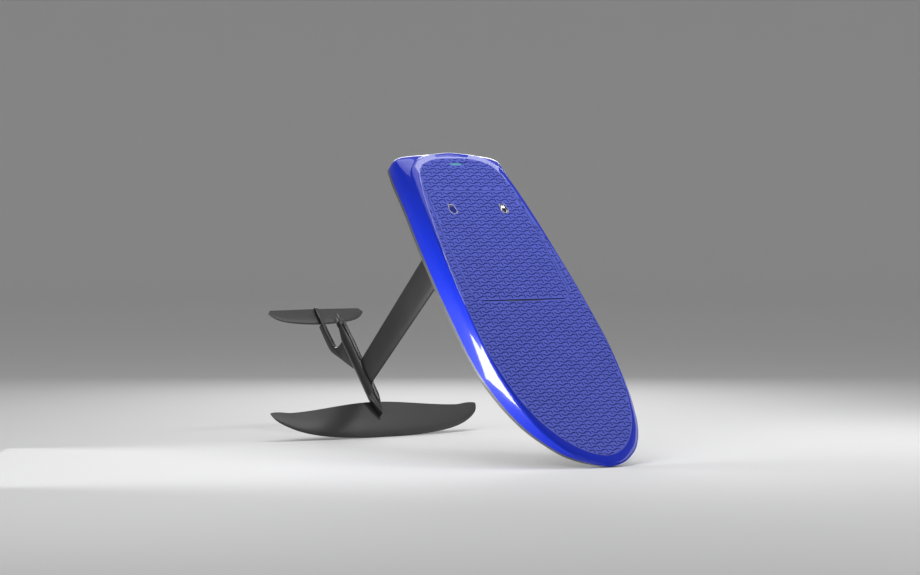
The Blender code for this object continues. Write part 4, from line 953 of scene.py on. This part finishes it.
def build_propeller():
    x = PIVOT_X
    front = CONE_REAR - 0.0006
    hub = turned("prop_hub_skin", [(x - 0.0085, 0), (x - 0.0085, 0.0095), (x - 0.0075, 0.0115),
                                   (x - 0.0045, 0.0155), (front, 0.0155), (front, 0)], ALLOY, 64)
    cutters = [tube((x - 0.0018, 0, POD_Z), (0.02, 0, POD_Z), 0.0053)]
    for side, name in ((1, "upper"), (-1, "lower")):
        z = POD_Z + side * PIVOT_R
        low, high = sorted((z - side * 0.0052, z + side * 0.02))
        cutters += [block((x - 0.02, -0.0035, low), (x + 0.0056, 0.0035, high)),
                    tube((x, -0.02, z), (x, 0.02, z), PIN_R + GAP)]
        rings = []
        for k in range(41):
            t = k / 40
            back = 0.0044 - t * (BLADE_LONG + 0.0044)
            grow = ease(-back, 0.0086, 0.0250)
            tip = math.sqrt(max(1 - ease(t, 0.72, 1.0) ** 2 * 0.93, 0.02))
            wide = (0.0030 + 0.0066 * grow) * tip
            tall = (0.0044 * math.sqrt(max(1 - (max(back, 0) / 0.0050) ** 2, 0.1)) * (1 - grow) + 0.0014 * grow)
            ring = []
            for i in range(36):
                angle = 2 * math.pi * i / 36
                y = wide * math.copysign(abs(math.sin(angle)) ** 0.8, math.sin(angle))
                bow = side * 0.0022 * grow * (1 - (y / 0.0100) ** 2)
                up = tall * math.copysign(abs(math.cos(angle)) ** 0.8, math.cos(angle))
                ring.append(Vector((x + back, y, z + bow + up)))
            rings.append(ring)
        blade = carve(loft("blade_%s_skin" % name, rings, POD_PAINT),
                      [tube((x, -0.02, z), (x, 0.02, z), PIN_R + GAP)])
        stands_for(blade, "prop_blade_" + name, "blade_" + name)
    stands_for(carve(hub, cutters, 30), "prop_hub", "propeller")


# ---------------------------------------------------------------- CAD pieces that keep their shape
KEPT = {
    "foam_core": WHITE_FOAM, "hatch_lid": DARK_SHELL, "mast_base_plate": ALLOY, "motor_controller": ALLOY,
    "power_connector": ALLOY, "battery_bay": BLACK, "battery_pack": BLACK, "mast_mount_block": BLACK,
    "light_driver": BLACK, "battery_handle": RUBBER, "hatch_seal": RUBBER, "phase_cable": RUBBER,
    "shaft_seal": RUBBER, "motor_stator": COPPER, "status_light": LENS, "latch_ring_port": CHROME,
    "latch_ring_starboard": CHROME, "latch_cup_port": NAVY, "latch_cup_starboard": NAVY,
    # the hinge leaves and pin take the dark alloy instead of brushed steel, a painted shade for the dark gap along
    # the hatch's front edge
    "hinge_leaf_deck": ALLOY, "hinge_leaf_lid": ALLOY, "hinge_pin": ALLOY,
}


def paint_kept():
    for name, node in NODES.items():
        node.data.materials.clear()
        node.data.materials.append(KEPT.get(name, STEEL))


# ---------------------------------------------------------------- stage, lights and camera
def build_stage():
    """A pale floor with a low rim far outside every camera."""
    bm = bmesh.new()
    radius, bend, height, steps = 17.0, 3.0, 7.0, 96
    line = [(radius - bend - 0.2, 0.0), (radius - bend - 0.1, 0.0), (radius - bend, 0.0)]
    for k in range(1, 13):
        angle = math.pi / 2 * k / 12
        line.append((radius - bend + bend * math.sin(angle), bend - bend * math.cos(angle)))
    line.append((radius, height))
    rows = [[bm.verts.new((r * math.cos(2 * math.pi * i / steps), r * math.sin(2 * math.pi * i / steps),
                           z - 0.0005)) for i in range(steps)] for r, z in line]
    bm.faces.new(rows[0])
    for a, b in zip(rows, rows[1:]):
        for i in range(steps):
            bm.faces.new((a[i], b[i], b[(i + 1) % steps], a[(i + 1) % steps]))
    data = bpy.data.meshes.new("studio_floor")
    bm.to_mesh(data)
    bm.free()
    data.shade_smooth()
    paint = Paint("studio_paper", (0.86, 0.86, 0.86), 0.9)
    data.materials.append(paint.material)
    floor = bpy.data.objects.new("studio_floor", data)
    bpy.context.scene.collection.objects.link(floor)


def lamp(name, azimuth, elevation, distance, size, power, target=(0, 0, 0.55)):
    """An area light seen from the object at that azimuth and elevation."""
    data = bpy.data.lights.new(name, "AREA")
    data.shape = "RECTANGLE"
    data.size, data.size_y = size
    data.energy = power
    obj = bpy.data.objects.new(name, data)
    bpy.context.scene.collection.objects.link(obj)
    a, e = math.radians(azimuth), math.radians(elevation)
    way = Vector((math.sin(a) * math.cos(e), -math.cos(a) * math.cos(e), math.sin(e)))
    obj.location = Vector(target) + way * distance
    obj.rotation_euler = (-way).to_track_quat("-Z", "Y").to_euler()
    obj.visible_camera = False
    return obj


VIEW_AZIMUTH, VIEW_ELEVATION = 55.676, 2.190
VIEW_DISTANCE = 11.1404
VIEW_TARGET = BOARD @ Vector((0, 0, 0)) + Vector((0.0687, 0, -0.5191))
FOCAL = 113.48


def build_camera():
    data = bpy.data.cameras.new("camera")
    data.sensor_width = 36.0
    data.lens = FOCAL
    data.clip_end = 60
    obj = bpy.data.objects.new("camera", data)
    bpy.context.scene.collection.objects.link(obj)
    a, e = math.radians(VIEW_AZIMUTH), math.radians(VIEW_ELEVATION)
    way = Vector((math.sin(a) * math.cos(e), -math.cos(a) * math.cos(e), math.sin(e)))
    obj.location = VIEW_TARGET + way * VIEW_DISTANCE
    obj.rotation_euler = (-way).to_track_quat("-Z", "Y").to_euler()
    bpy.context.scene.camera = obj


def build_lights():
    world = bpy.data.worlds.new("studio")
    bpy.context.scene.world = world
    world.use_nodes = True
    sky = world.node_tree.nodes["Background"]
    sky.inputs["Color"].default_value = (1, 1, 1, 1)
    sky.inputs["Strength"].default_value = 0.28
    lamp("key_softbox", VIEW_AZIMUTH - 35, 34, 4.5, (2.2, 1.6), 36)
    lamp("fill_softbox", VIEW_AZIMUTH + 40, 12, 5.0, (2.0, 2.4), 16)
    lamp("overhead_softbox", -130, 78, 1.8, (1.7, 1.6), 20, (0.03, -0.2, 1.1))
    panel = lamp("panel_softbox", -33, -4, 1.9, (1.4, 0.66), 12, (0.74, -0.27, 0.32))
    panel.data.spread = math.radians(60)
    lamp("tail_softbox", -124, 16, 3.4, (1.8, 1.2), 36, (0.0, 0, 1.1))
    lamp("deck_softbox", 167, 55, 3.0, (1.1, 0.7), 20, (0.0, 0, 1.12))
    lamp("nose_softbox", 172, 28, 2.6, (2.2, 0.7), 12, (0.95, 0, 0.05))


build_hull()
build_pads()
build_latch_trim()
build_pod()
build_mast()
build_wings()
build_boom()
build_propeller()
paint_kept()
build_stage()
build_lights()
build_camera()

bpy.context.scene.view_settings.view_transform = "Standard"
